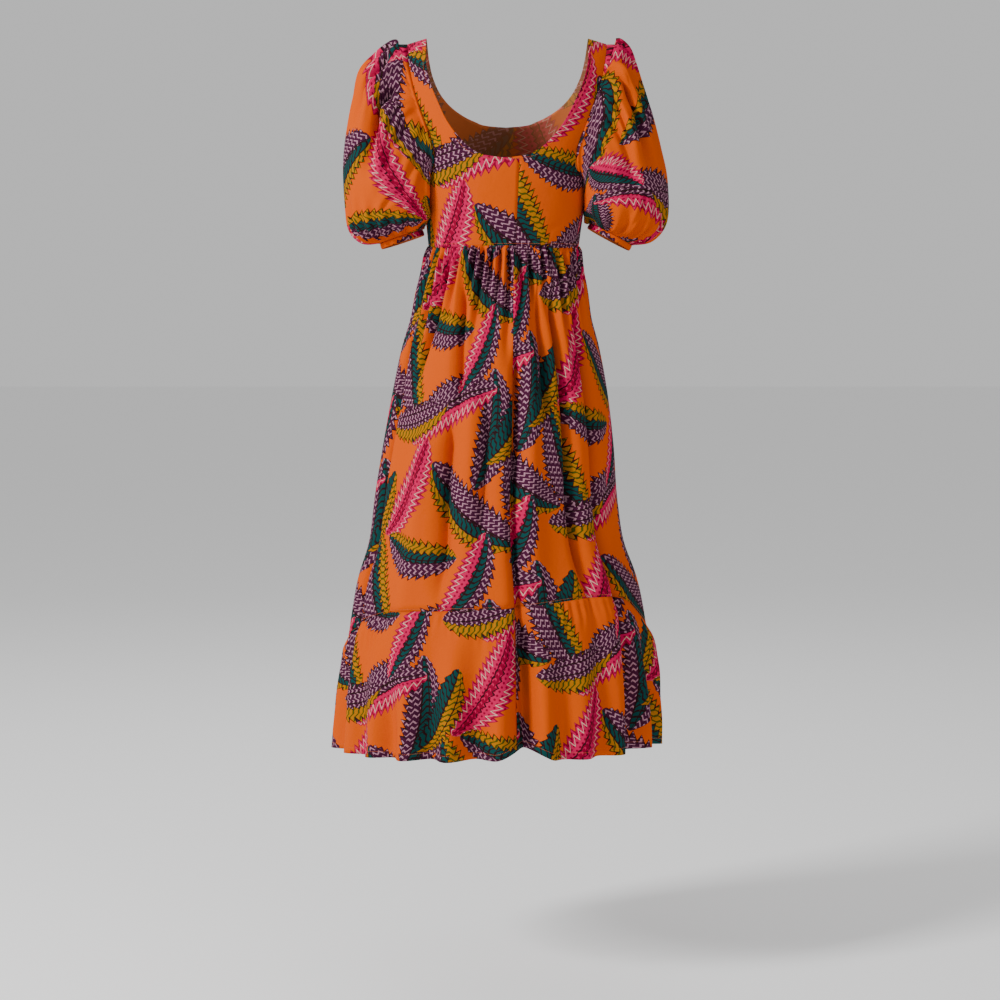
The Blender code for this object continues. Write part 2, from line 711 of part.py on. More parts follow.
def sleeve_height(angles, part, side):
    """The height of a sleeve's puckers and folds, where part runs from armhole to cuff."""
    wave = np.cos(TAU * pucker_count(angles))
    over_cap = smooth((CAP_ANGLE + 0.1 - np.abs(wrap_angle(angles))) / 0.3)
    cap = CAP_PUCKER * wave * over_cap * smooth(part / 0.16) * (1 - smooth(part / 0.36))
    hem = SLEEVE_PUCKER * wave * smooth((part - 0.66) / 0.20) * (1 - smooth((part - 0.91) / 0.08))
    total = cap + hem
    folds = LEFT_SLEEVE_FOLDS if side > 0 else RIGHT_SLEEVE_FOLDS
    for degrees, start, end, half, height in folds:
        away = wrap_angle(angles - math.radians(degrees))
        shape = smooth((part - start) / 0.10) * smooth((end - part) / 0.22)
        total = total + height * shape * np.exp(-(away / math.radians(half))**2)
    return total


def grid_normals(grid, closed):
    """Unit normals of a grid of points, from the points on each side."""
    if closed:
        round_way = np.roll(grid, -1, axis=1) - np.roll(grid, 1, axis=1)
    else:
        round_way = np.gradient(grid, axis=1)
    down_way = np.gradient(grid, axis=0)
    return across(round_way, down_way)


def outward_sleeve(grid, normals):
    """Sleeve normals turned to face out of the tube."""
    centre = grid.mean(axis=1, keepdims=True)
    sign = np.sign(np.sum(normals * (grid - centre)))
    return normals * sign


def cuff_rings(top_ring, side):
    """The two rings of a sleeve band, below the sleeve's last ring."""
    source = (LEFT_RINGS if side > 0 else RIGHT_RINGS)[-1]
    along = np.array([side * (source[0] - source[2]), 0.0, source[1] - source[3]])
    down = np.array([along[2], 0.0, -along[0]]) * side
    down = down / np.linalg.norm(down)
    centre = top_ring.mean(axis=0)
    flat = top_ring - centre
    flat = flat - np.outer(flat @ down, down)
    away = flat / np.linalg.norm(flat, axis=1, keepdims=True)
    top = SEAM_GAP + WALL / 2
    rings = [centre + flat + down * (top + drop) for drop in (0.0, CUFF_HEIGHT)]
    return rings, [away, away]


def build():
    """All panels of the dress."""
    for thing in list(bpy.data.objects):
        bpy.data.objects.remove(thing)

    # Bodice.
    half_gap = SEAM_GAP / 2
    back_angle = TAU * BACK_SEAM_TURN
    centre_left = back_angle + half_gap / TORSO[-1, 2]
    angle, z = bodice_side(NECK_BACK, ARMHOLE_BACK, 1, centre_left, BODICE_COLUMNS)
    build_bodice("bodice_back_left", angle, z, 1)
    centre_right = -back_angle + half_gap / TORSO[-1, 2]
    angle, z = bodice_side(NECK_BACK, ARMHOLE_BACK, 1, centre_right, BODICE_COLUMNS)
    build_bodice("bodice_back_right", -angle, z, 1)
    angle, z = bodice_side(NECK_FRONT, ARMHOLE_FRONT, -1, math.pi, BODICE_COLUMNS)
    build_bodice("bodice_front", angle, z, -1)

    # Upper skirt.
    full = 1 + BACK_SEAM_TURN
    skirt_panels = (
        ("skirt_back_left", BACK_SEAM_TURN, 0.25, SKIRT_LEFT_COLUMNS),
        ("skirt_front", 0.25, 0.75, SKIRT_FRONT_COLUMNS),
        ("skirt_back_right", 0.75, full, SKIRT_RIGHT_COLUMNS),
    )
    drops = [lambda turn, d=d: d / (WAIST_Z - level(turn, 1)) for d in SKIRT_FINE_DROPS]
    below = np.linspace(0, 1, SKIRT_COARSE_ROWS + 1)
    end = SKIRT_PUCKER_END
    for part in below:
        drops.append(lambda turn, part=part: part + (1 - part) * end / (WAIST_Z - level(turn, 1)))
    for name, first, last, columns in skirt_panels:
        counts = [columns] * len(SKIRT_FINE_DROPS) + [columns // 2] * len(below)
        rows, normals = hem_panel(skirt_point, first, last, counts, drops)
        add_rows(name, rows, normals, False, cloth(name + "_cloth", CLOTH_ORANGE))

    # Ruffle.
    ruffle_panels = (
        ("ruffle_back_left", BACK_SEAM_TURN, 0.25, RUFFLE_LEFT_COLUMNS),
        ("ruffle_front", 0.25, 0.75, RUFFLE_FRONT_COLUMNS),
        ("ruffle_back_right", 0.75, full, RUFFLE_RIGHT_COLUMNS),
    )
    falls = np.linspace(0, 1, RUFFLE_ROWS + 1)
    for name, first, last, columns in ruffle_panels:
        rows, normals = hem_panel(ruffle_point, first, last, [columns] * len(falls), falls)
        add_rows(name, rows, normals, False, cloth(name + "_cloth", CLOTH_ORANGE))

    # Sleeves and their bands.
    cap = np.linspace(0, CAP_ANGLE, CAP_COLUMNS + 1)
    under = np.linspace(CAP_ANGLE, math.pi, UNDERARM_COLUMNS + 1)[1:]
    half_round = np.concatenate([cap, under])
    angles = np.concatenate([half_round, -half_round[1:-1][::-1]])
    for word, side in (("left", 1), ("right", -1)):
        grid = spaced_rings(sleeve_rings(angles, side), SLEEVE_PARTS)
        normals = outward_sleeve(grid, grid_normals(grid, True))
        part = np.array(SLEEVE_PARTS)[:, None]
        heights = sleeve_height(angles[None, :], part, side)
        grid = grid + normals * heights[..., None]
        grid = relaxed(grid, angles, np.array(SLEEVE_PARTS))
        normals = outward_sleeve(grid, grid_normals(grid, True))
        band, band_normals = cuff_rings(grid[-1], side)
        name = "sleeve_" + word
        add_rows(name, list(grid), list(normals), True, cloth(name + "_cloth", CLOTH_ORANGE))
        name = "cuff_" + word
        add_rows(name, band, band_normals, True, cloth(name + "_cloth", BAND_ORANGE))


def bodice_grid(angle, z, facing):
    """Points and normals of a bodice panel's grid."""
    points = apart(torso_point(angle, z), facing)
    normals = bodice_normals(angle, z)
    normals[0] = level_out(normals[0])
    slope = np.sign(points[-1, :, 0]) * SHOULDER_SLOPE
    top = np.stack([slope, 0 * slope, 0 * slope + 1], axis=-1)
    normals[-1] = top / np.linalg.norm(top, axis=-1, keepdims=True)
    return points, normals


def build_bodice(name, angle, z, facing):
    """One bodice panel from its grid of angles and heights; the front has both halves in one."""
    points, normals = bodice_grid(angle, z, facing)
    faces = row_faces(points, False)
    points = points.reshape(-1, 3)
    normals = normals.reshape(-1, 3)
    if facing < 0:
        other_points, other_normals = bodice_grid(TAU - angle, z, facing)
        count = len(points)
        width = angle.shape[1]
        centre = {count + row * width: row * width for row in range(BODICE_LOWER_ROWS + 1)}
        twin = [tuple(centre.get(i + count, i + count) for i in face[::-1]) for face in faces]
        faces = faces + twin
        points = np.concatenate([points, other_points.reshape(-1, 3)])
        normals = np.concatenate([normals, other_normals.reshape(-1, 3)])
        used = sorted({i for face in faces for i in face})
        place = {old: new for new, old in enumerate(used)}
        faces = [tuple(place[i] for i in face) for face in faces]
        points = points[used]
        normals = normals[used]
    add_wall(name, points, normals, faces, cloth(name + "_cloth", CLOTH_ORANGE))


build()
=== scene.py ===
import math

import bpy
import numpy as np
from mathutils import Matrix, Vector


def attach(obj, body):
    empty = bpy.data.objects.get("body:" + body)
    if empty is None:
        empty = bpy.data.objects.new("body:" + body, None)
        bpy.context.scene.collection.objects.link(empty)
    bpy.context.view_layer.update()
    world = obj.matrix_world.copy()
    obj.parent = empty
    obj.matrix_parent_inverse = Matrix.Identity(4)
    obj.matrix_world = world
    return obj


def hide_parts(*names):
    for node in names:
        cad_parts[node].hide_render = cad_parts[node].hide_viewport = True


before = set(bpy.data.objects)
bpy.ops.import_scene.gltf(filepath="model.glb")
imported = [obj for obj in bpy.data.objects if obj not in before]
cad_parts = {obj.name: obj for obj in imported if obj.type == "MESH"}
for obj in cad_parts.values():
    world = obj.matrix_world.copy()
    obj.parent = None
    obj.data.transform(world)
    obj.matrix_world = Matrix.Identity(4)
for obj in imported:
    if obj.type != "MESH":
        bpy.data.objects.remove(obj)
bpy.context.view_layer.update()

# The dress: lengths in metres, counts and shares. +Z is up and the garment's back faces +Y.
SEAM_GAP = 0.0003
CLOTH = 0.0009
WAIST_Z = -0.339
UNDERARM_Z = -0.236
SHOULDER_MIDDLE = 0.149
SHOULDER_SLOPE = 0.30
SHOULDER_ARCH = 0.070
LEAN = 0.006
TORSO_ROUNDNESS = 2.3
SKIRT_ROUNDNESS = 2.05
SLEEVE_ROUNDNESS = 2.25
BACK_SEAM_TURN = -0.0195
SLEEVE_CLEARANCE = 0.0045
CLEARING_ROUNDS = 12
CLEARED_BELOW_WAIST = 0.06
CUFF_HEIGHT = 0.009
BAND_BULGE = 0.0008
WAIST_PUCKERS = 60
WAIST_PUCKER_AT_SEAM = 0.0010
WAIST_PUCKER_BELOW = 0.0034
WAIST_PUCKER_LENGTH = 0.054
WAIST_PUCKER_GROWTH = 0.009
WAIST_DRIFT_GROWTH = 0.01
FINE_PUCKERS = 137
FINE_PUCKER = 0.0005
FINE_PUCKER_RISE = 0.002
FINE_PUCKER_LENGTH = 0.016
WAIST_TUCK = 0.0035
WAIST_TUCK_DEPTH = 0.0013
CREASE_DEPTH = 2.7
CREASE_RIDGES = 0.45
CREASE_RISE = 0.02
CREASE_FADE = 0.7
FOLD_RISE = 0.12
FOLD_FADE = 0.15
PINCH_SHARE = 0.75
PINCH_WIDTH = 0.40
WAIST_RADIUS = 0.115
WAIST_SPREAD = 0.25
SKIRT_SWAY = 0.004
SKIRT_SWAYS = 9
SKIRT_SWAY_START = 1.3
RUFFLE_WAVES = 22
RUFFLE_WAVE = 0.0135
RUFFLE_WAVE_RISE = 0.9
RUFFLE_FOLD_FADE = 0.3
RUFFLE_STEP = 0.006
RUFFLE_STEP_RISE = 0.12
RUFFLE_STEP_LOSS = 0.5
GATHERS = 112
GATHER = 0.0016
GATHER_LENGTH = 0.060
GATHER_RISE = 0.010
CAP_PUCKERS = 12
SLEEVE_PUCKERS = 14
SLEEVE_RIDGES = 0.35
SLEEVE_RIDGE_PLACE = 2.1
SLEEVE_CREASE_RISE = 0.25
SLEEVE_CREASE_FADE = 0.6
SLEEVE_FOLD_RISE = 0.10
SLEEVE_FOLD_FADE = 0.22
BODICE_RADIUS = 0.12
BODICE_CREASE_BEND = 6.0
BODICE_CREASE_RISE = 0.35
BODICE_CREASE_FADE = 0.45
NECK_BEND = 2.6
TAU = 2 * math.pi
CAP_ANGLE = TAU * 7 / 22

# Unevenness round the skirt and ruffle, as waves: height, count round the dress, start.
PUCKER_DRIFT = ((0.35, 11, 0.4), (0.25, 17, 2.0))
PUCKER_LENGTHS = ((0.012, 7, 0.6), (0.010, 23, 1.1))
PUCKER_SIZES = ((0.35, 13, 2.4),)
RUFFLE_DRIFT = ((0.30, 3, 1.0), (0.22, 5, 2.2))
RUFFLE_SIZES = ((0.35, 4, 0.5),)
GATHER_DRIFT = ((0.6, 19, 1.0), (0.5, 31, 2.0))
GATHER_LENGTHS = ((0.022, 13, 0.9), (0.014, 29, 0))
GATHER_SIZES = ((0.4, 9, 0),)

# Puckers of a sleeve: height in m, how many to one wide pucker, start, rise, end and fade as
# parts of the way to the cuff, and how unevenly they end.
CAP_PUCKER_ROWS = (
    (0.0038, 1, 0, 0.15, 0.36, 0.36, 0.06),
    (0.0009, 2.37, 0, 0.04, 0.18, 0.18, 0),
)
HEM_PUCKER_ROWS = (
    (0.0036, 1, 0.66, 0.20, 1, 0.08, 0),
    (0.0010, 2.61, 0.80, 0.10, 1, 0.04, 0),
)

# Torso sections: height, half width, depth to the back, depth to the front.
TORSO = np.array([
    (0.010, 0.176, 0.066, 0.050),
    (-0.050, 0.178, 0.074, 0.064),
    (-0.100, 0.170, 0.084, 0.082),
    (-0.150, 0.158, 0.092, 0.106),
    (-0.200, 0.145, 0.095, 0.126),
    (-0.236, 0.139, 0.094, 0.132),
    (-0.290, 0.131, 0.089, 0.116),
    (-0.339, 0.125, 0.085, 0.095),
])

# Skirt sections: height, half width, depth to the back, depth to the front, centre's shift.
SKIRT = np.array([
    (-0.339, 0.126, 0.086, 0.096, 0.0060),
    (-0.380, 0.134, 0.096, 0.103, 0.0075),
    (-0.420, 0.143, 0.109, 0.110, 0.0090),
    (-0.460, 0.151, 0.121, 0.117, 0.0100),
    (-0.504, 0.164, 0.131, 0.124, 0.0115),
    (-0.578, 0.179, 0.143, 0.134, 0.0130),
    (-0.672, 0.193, 0.155, 0.148, 0.0165),
    (-0.768, 0.204, 0.169, 0.163, 0.0210),
    (-0.832, 0.213, 0.180, 0.174, 0.0205),
    (-0.892, 0.233, 0.192, 0.185, 0.0190),
    (-0.952, 0.245, 0.204, 0.196, 0.0180),
    (-1.010, 0.253, 0.214, 0.206, 0.0180),
    (-1.074, 0.259, 0.224, 0.216, 0.0180),
    (-1.122, 0.260, 0.231, 0.223, 0.0175),
    (-1.200, 0.264, 0.236, 0.228, 0.0190),
])

# Edges of the bodice on each side: height, half width.
NECK_BACK = np.array([
    (0.0045, 0.134),
    (-0.025, 0.134),
    (-0.070, 0.126),
    (-0.102, 0.113),
    (-0.138, 0.095),
    (-0.165, 0.074),
    (-0.182, 0.055),
    (-0.193, 0.030),
    (-0.197, 0.000),
])
NECK_FRONT = np.array([
    (0.0045, 0.134),
    (-0.030, 0.130),
    (-0.060, 0.122),
    (-0.090, 0.105),
    (-0.112, 0.080),
    (-0.126, 0.052),
    (-0.133, 0.027),
    (-0.135, 0.000),
])
ARMHOLE_BACK = np.array([
    (-0.0048, 0.165),
    (-0.040, 0.161),
    (-0.080, 0.152),
    (-0.110, 0.142),
    (-0.145, 0.129),
    (-0.175, 0.119),
    (-0.203, 0.116),
    (-0.222, 0.122),
    (-0.232, 0.131),
    (-0.236, 0.139),
])
ARMHOLE_FRONT = np.array([
    (-0.0048, 0.165),
    (-0.040, 0.158),
    (-0.080, 0.146),
    (-0.115, 0.134),
    (-0.150, 0.123),
    (-0.180, 0.116),
    (-0.205, 0.115),
    (-0.222, 0.121),
    (-0.232, 0.131),
    (-0.236, 0.139),
])

# Seam and hem levels round the skirt: turn (0 back, 0.25 left side, 0.5 front), ruffle seam, hem.
LEVELS = np.array([
    (0.000, -0.926, -1.164),
    (0.060, -0.930, -1.168),
    (0.120, -0.936, -1.172),
    (0.180, -0.960, -1.176),
    (0.250, -1.000, -1.180),
    (0.330, -0.985, -1.182),
    (0.500, -0.965, -1.184),
    (0.670, -0.962, -1.182),
    (0.750, -0.972, -1.176),
    (0.820, -0.922, -1.166),
    (0.880, -0.912, -1.168),
    (0.940, -0.918, -1.168),
    (0.970, -0.922, -1.150),
    (1.000, -0.926, -1.164),
])

# Large folds of the skirt: turn at the top and bottom, start, end, half width in m, height in m.
SKIRT_FOLDS = np.array([
    (0.115, 0.150, 0.02, 0.42, 0.010, -0.013),
    (0.078, 0.052, 0.06, 0.50, 0.009, -0.011),
    (0.068, 0.062, 0.45, 1.00, 0.014, -0.013),
    (0.016, 0.014, 0.40, 0.85, 0.010, -0.009),
    (-0.024, -0.024, 0.25, 1.30, 0.011, -0.016),
    (-0.066, -0.070, 0.08, 0.55, 0.009, -0.011),
    (-0.096, -0.112, 0.10, 1.05, 0.010, -0.016),
    (-0.045, -0.048, 0.20, 1.00, 0.013, 0.008),
    (0.038, 0.030, 0.30, 1.10, 0.016, 0.008),
    (0.105, 0.108, 0.45, 1.20, 0.018, 0.009),
    (-0.150, -0.165, 0.15, 1.15, 0.015, -0.015),
    (0.190, 0.200, 0.20, 1.15, 0.015, -0.015),
    (0.300, 0.296, 0.10, 1.10, 0.014, -0.015),
    (0.372, 0.380, 0.05, 0.90, 0.012, -0.013),
    (0.436, 0.430, 0.15, 1.15, 0.014, -0.015),
    (0.500, 0.505, 0.08, 0.80, 0.012, -0.012),
    (0.560, 0.570, 0.12, 1.10, 0.013, -0.015),
    (0.630, 0.622, 0.05, 0.95, 0.012, -0.013),
    (0.700, 0.706, 0.15, 1.15, 0.014, -0.015),
])

# Creases that run down from the waist: turn, lean of the crease, length, half width, height in m.
WAIST_CREASES = np.array([
    (0.205, 0.010, 0.20, 0.0045, -0.0030),
    (0.176, 0.012, 0.14, 0.0040, -0.0028),
    (0.150, 0.014, 0.26, 0.0045, -0.0034),
    (0.133, 0.010, 0.11, 0.0035, -0.0026),
    (0.096, 0.006, 0.17, 0.0045, -0.0034),
    (0.058, 0.004, 0.12, 0.0040, -0.0030),
    (0.040, 0.006, 0.21, 0.0045, -0.0036),
    (0.022, 0.001, 0.10, 0.0035, -0.0026),
    (0.006, 0.000, 0.16, 0.0040, -0.0030),
    (-0.010, -0.001, 0.24, 0.0045, -0.0036),
    (-0.034, -0.003, 0.13, 0.0040, -0.0034),
    (-0.052, -0.004, 0.19, 0.0045, -0.0036),
    (-0.080, -0.006, 0.15, 0.0040, -0.0030),
    (-0.118, -0.010, 0.25, 0.0045, -0.0034),
    (-0.137, -0.010, 0.12, 0.0040, -0.0030),
    (-0.170, -0.012, 0.18, 0.0045, -0.0032),
    (-0.206, -0.010, 0.14, 0.0040, -0.0028),
    (0.272, 0.004, 0.18, 0.0045, -0.0030),
    (0.322, 0.006, 0.13, 0.0040, -0.0030),
    (0.348, 0.004, 0.22, 0.0045, -0.0034),
    (0.392, 0.003, 0.15, 0.0040, -0.0030),
    (0.418, 0.003, 0.24, 0.0045, -0.0034),
    (0.462, 0.001, 0.12, 0.0040, -0.0028),
    (0.484, 0.001, 0.19, 0.0045, -0.0034),
    (0.522, -0.002, 0.14, 0.0040, -0.0030),
    (0.546, -0.003, 0.23, 0.0045, -0.0034),
    (0.588, -0.004, 0.13, 0.0040, -0.0030),
    (0.612, -0.003, 0.20, 0.0045, -0.0034),
    (0.652, -0.006, 0.14, 0.0040, -0.0028),
    (0.680, -0.004, 0.18, 0.0045, -0.0032),
    (0.728, -0.004, 0.15, 0.0040, -0.0030),
])

# Folds of the ruffle: turn, start, full depth, end, half width in m, height in m.
RUFFLE_FOLDS = np.array([
    (-0.030, 0.00, 0.30, 1.50, 0.013, -0.024),
    (0.770, 0.02, 0.20, 0.65, 0.045, 0.006),
    (0.750, 0.78, 1.00, 1.50, 0.022, -0.018),
])

# Sleeve rings: outer x, outer z, inner x, inner z, half depth. The first stands for the armhole,
# and the rings after it keep a share of how the armhole differs from it.
ARMHOLE_RING = (0.167, -0.004, 0.139, -0.236, 0.062)
ARMHOLE_SHARES = (0.80, 0.50, 0.25, 0.10)
LEFT_RINGS = np.array([
    (0.188, 0.002, 0.126, -0.237, 0.062),
    (0.214, -0.020, 0.113, -0.239, 0.070),
    (0.241, -0.050, 0.103, -0.243, 0.079),
    (0.252, -0.095, 0.095, -0.248, 0.086),
    (0.260, -0.140, 0.089, -0.254, 0.090),
    (0.266, -0.185, 0.087, -0.261, 0.092),
    (0.267, -0.228, 0.089, -0.268, 0.091),
    (0.263, -0.270, 0.094, -0.277, 0.086),
    (0.255, -0.310, 0.104, -0.290, 0.076),
    (0.235, -0.330, 0.120, -0.303, 0.061),
    (0.206, -0.334, 0.136, -0.311, 0.044),
])
RIGHT_RINGS = np.array([
    (0.186, 0.005, 0.131, -0.238, 0.062),
    (0.205, -0.011, 0.127, -0.243, 0.070),
    (0.222, -0.050, 0.124, -0.248, 0.079),
    (0.238, -0.090, 0.121, -0.253, 0.086),
    (0.251, -0.132, 0.119, -0.259, 0.090),
    (0.262, -0.176, 0.118, -0.265, 0.092),
    (0.272, -0.221, 0.119, -0.271, 0.091),
    (0.274, -0.264, 0.122, -0.278, 0.086),
    (0.268, -0.301, 0.127, -0.286, 0.076),
    (0.247, -0.326, 0.135, -0.294, 0.061),
    (0.214, -0.337, 0.145, -0.300, 0.044),
])

# Large folds of the sleeves: angle in degrees, start, end, half width in degrees, height in m.
LEFT_SLEEVE_FOLDS = np.array([
    (60, 0.05, 0.66, 10, -0.021),
    (28, 0.08, 0.54, 9, -0.012),
    (92, 0.10, 0.74, 10, -0.009),
    (118, 0.15, 0.84, 9, -0.006),
    (-34, 0.06, 0.58, 10, -0.013),
    (-66, 0.08, 0.70, 10, -0.016),
    (-100, 0.12, 0.78, 10, -0.008),
])
RIGHT_SLEEVE_FOLDS = np.array([
    (22, 0.05, 0.54, 9, -0.012),
    (48, 0.12, 0.68, 10, -0.015),
    (80, 0.10, 0.76, 10, -0.010),
    (110, 0.15, 0.84, 9, -0.007),
    (-30, 0.06, 0.56, 10, -0.013),
    (-62, 0.08, 0.70, 10, -0.016),
    (-98, 0.12, 0.78, 10, -0.008),
])

# Creases of the sleeves: angle in degrees and part of the way to the cuff at each end, half width
# in degrees, height in m. Both sleeves have those of the first table, and each has its own.
SLEEVE_CREASES = np.array([
    (8, 0.04, 2, 0.40, 2.4, -0.0050),
    (-10, 0.05, -16, 0.46, 2.6, -0.0050),
    (-24, 0.04, -20, 0.36, 2.4, -0.0045),
    (-46, 0.05, -58, 0.52, 3.0, -0.0060),
    (-80, 0.06, -86, 0.44, 2.8, -0.0045),
    (-112, 0.08, -96, 0.50, 3.0, -0.0040),
])
LEFT_SLEEVE_CREASES = np.array([
    (58, 0.05, 64, 0.56, 3.4, -0.0100),
    (44, 0.04, 36, 0.44, 2.6, -0.0060),
    (76, 0.06, 84, 0.62, 3.0, -0.0070),
    (96, 0.08, 70, 0.78, 3.0, -0.0060),
    (112, 0.12, 92, 0.86, 3.2, -0.0055),
    (24, 0.06, 30, 0.40, 2.6, -0.0050),
    (102, 0.55, 60, 0.93, 2.6, -0.0035),
])
RIGHT_SLEEVE_CREASES = np.array([
    (50, 0.05, 44, 0.60, 3.2, -0.0085),
    (34, 0.05, 26, 0.42, 2.6, -0.0060),
    (68, 0.06, 74, 0.56, 3.0, -0.0065),
    (86, 0.08, 72, 0.74, 3.0, -0.0060),
    (106, 0.10, 94, 0.84, 3.2, -0.0055),
    (60, 0.62, 84, 0.94, 2.6, -0.0035),
])

# Creases of the bodice: angle and height at each end, half width, height in m.
BODICE_CREASES = np.array([
    (0.98, -0.142, 0.62, -0.186, 0.0040, -0.0040),
    (1.05, -0.160, 0.70, -0.210, 0.0040, -0.0036),
    (1.02, -0.188, 0.84, -0.228, 0.0040, -0.0026),
    (-0.98, -0.165, -0.66, -0.205, 0.0042, -0.0028),
    (-1.04, -0.190, -0.80, -0.222, 0.0040, -0.0022),
    (0.90, -0.300, 0.45, -0.322, 0.0050, -0.0012),
    (-0.85, -0.296, -0.50, -0.318, 0.0050, -0.0012),
    (2.20, -0.170, 2.60, -0.200, 0.0045, -0.0014),
    (4.08, -0.170, 3.68, -0.200, 0.0045, -0.0014),
])

# Grids of the cloth: columns, rows and how evenly they are spaced.
SKIRT_COLUMNS = 860
SKIRT_ROWS = 72
RUFFLE_COLUMNS = 560
RUFFLE_ROWS = 30
BODICE_ROWS = (26, 44)
BODICE_COLUMNS = 44
SLEEVE_COLUMNS = 224
SLEEVE_ROWS = 84
SPACING_STEPS = 161
EDGE_STEPS = 400
EDGE_CROWDING = 1.6
BAND_ROWS = 8
SKIRT_EVENNESS = 0.45

# The solid sleeve's grid, and how it is evened out under the arm.
CAP_COLUMNS = 21
UNDERARM_COLUMNS = 8
RELAX_REACH = 0.35
RELAX_START = 0.05
RELAX_GROWTH = 0.15
RELAX_END = 0.75
RELAX_FADE = 0.3
RELAX_ROUNDS = 8
SLEEVE_PARTS = (0, 0.06, 0.15, 0.24, 0.35, 0.46, 0.57, 0.69, 0.80, 0.90, 1)

# Flat cloth: widths of the skirt, ruffle, sleeve and band all round, lengths, radii that turn
# angles into widths, and places in the print.
SKIRT_FLAT = 1.50
RUFFLE_FLAT = 1.90
SLEEVE_FLAT = 0.52
BAND_FLAT = 0.25
SLEEVE_PRINT_LENGTH = 0.36
FLAT_RADIUS = 0.125
SEAM_RADIUS = 0.2
RUFFLE_PRINT_SHIFT = (0.17, 0.31)
BAND_PRINT_SHIFT = 0.37


def table(rows, value, column):
    """One column of a table at a value of its first column, joined by smooth curves."""
    keys = rows[:, 0]
    data = rows[:, column]
    if keys[0] > keys[-1]:
        keys = keys[::-1]
        data = data[::-1]
    steps = np.diff(keys)
    slopes = np.diff(data) / steps
    tangents = np.empty_like(data)
    tangents[0] = slopes[0]
    tangents[-1] = slopes[-1]
    tangents[1:-1] = np.where(slopes[1:] * slopes[:-1] > 0, (slopes[1:] + slopes[:-1]) / 2, 0)
    value = np.clip(value, keys[0], keys[-1])
    at = np.clip(np.searchsorted(keys, value) - 1, 0, len(keys) - 2)
    size = steps[at]
    t = (value - keys[at]) / size
    rise = data[at + 1] * (3 * t**2 - 2 * t**3) + data[at] * (1 - 3 * t**2 + 2 * t**3)
    return rise + size * (tangents[at] * (t - 2 * t**2 + t**3) + tangents[at + 1] * (t**3 - t**2))


def smooth(t):
    """A soft step from 0 to 1."""
    t = np.clip(t, 0, 1)
    return t * t * (3 - 2 * t)


def between(value, start, rise, end, fade):
    """A share that rises softly after a start and fades out before an end."""
    return smooth((value - start) / rise) * smooth((end - value) / fade)


def waves(turn, rows):
    """Waves round the dress added up, each with its height, count and start."""
    return sum(height * np.sin(TAU * count * turn + start) for height, count, start in rows)


def groove(away, width, ridges=0.0, ridge_place=2.0):
    """The section of a fold: a soft trough, and a share of its depth as a ridge on each side."""
    trough = np.exp(-(away / width)**2)
    if ridges == 0:
        return trough
    return trough - ridges * np.exp(-((np.abs(away) - ridge_place * width) / width)**2)


def lean(z):
    """How far the body's centre line lies from the straps' middle."""
    return LEAN * np.clip(z / WAIST_Z, 0, 1)


def wrap(turn):
    """A turn brought between -0.5 and 0.5."""
    return np.mod(turn + 0.5, 1.0) - 0.5


def from_top(angles):
    """Angles round a sleeve brought between minus and plus half a turn from its top."""
    return np.mod(angles + math.pi, TAU) - math.pi


def rounded(wave, power):
    """A number raised to a power, with its sign kept."""
    return np.sign(wave) * np.abs(wave)**power


def torso_point(angle, z):
    """A point of the bodice's cloth, by its angle from the back and its height."""
    half = table(TORSO, z, 1)
    back = table(TORSO, z, 2)
    front = table(TORSO, z, 3)
    power = 2 / TORSO_ROUNDNESS
    x = half * rounded(np.sin(angle), power)
    depth = np.where(np.cos(angle) >= 0, back, -front)
    y = depth * np.abs(np.cos(angle))**power
    top = -SHOULDER_SLOPE * (np.abs(x) - SHOULDER_MIDDLE)
    up = np.clip(1 + (z - top) / SHOULDER_ARCH, 0, 1)
    y = y * np.sqrt(1 - up**2)
    return np.stack([x + lean(z), y, z + 0 * x], axis=-1)


def torso_angle(x, z):
    """The angle from the back at which the bodice's cloth has a half width."""
    share = np.clip(np.abs(x) / table(TORSO, z, 1), 0, 1)
    return np.sign(x) * np.arcsin(share**(TORSO_ROUNDNESS / 2))


def across(first, second):
    """Unit normals from two directions along a surface."""
    cross = np.cross(first, second)
    return cross / np.maximum(np.linalg.norm(cross, axis=-1, keepdims=True), 1e-12)


def torso_normal(angle, z):
    """The outward direction of the bodice's cloth."""
    step = 0.004
    drop = 0.0004
    round_way = torso_point(angle + step, z) - torso_point(angle - step, z)
    up_way = torso_point(angle, z) - torso_point(angle, z - drop)
    normal = across(up_way, round_way)
    away = torso_point(angle, z) - np.array([0.0, 0.0, WAIST_Z])
    away[..., 2] = 0.2 * np.clip(away[..., 2] - 0.2, 0, 1)
    sign = np.sign(np.sum(normal * away, axis=-1, keepdims=True))
    sign[sign == 0] = 1
    return normal * sign


def walk(curve, count):
    """Points at equal distances along a curve, as fractions of its rows."""
    steps = np.linalg.norm(np.diff(curve, axis=0), axis=1)
    run = np.concatenate([[0], np.cumsum(steps)])
    return np.interp(np.linspace(0, run[-1], count), run, np.linspace(0, 1, len(run)))


def edge_run(rows, facing, count):
    """Angles and heights down an edge of the bodice, from the shoulder, for the left side."""
    places = np.linspace(0, 1, EDGE_STEPS)
    fine = places**EDGE_CROWDING
    z = rows[0, 0] + (rows[-1, 0] - rows[0, 0]) * fine
    share = table(rows, z, 1)
    share[-1] = rows[-1, 1]
    angle = torso_angle(share, z)
    if facing < 0:
        angle = math.pi - angle
    curve = torso_point(angle, z)
    at = walk(curve, count)
    return np.interp(at, places, angle), np.interp(at, places, z)


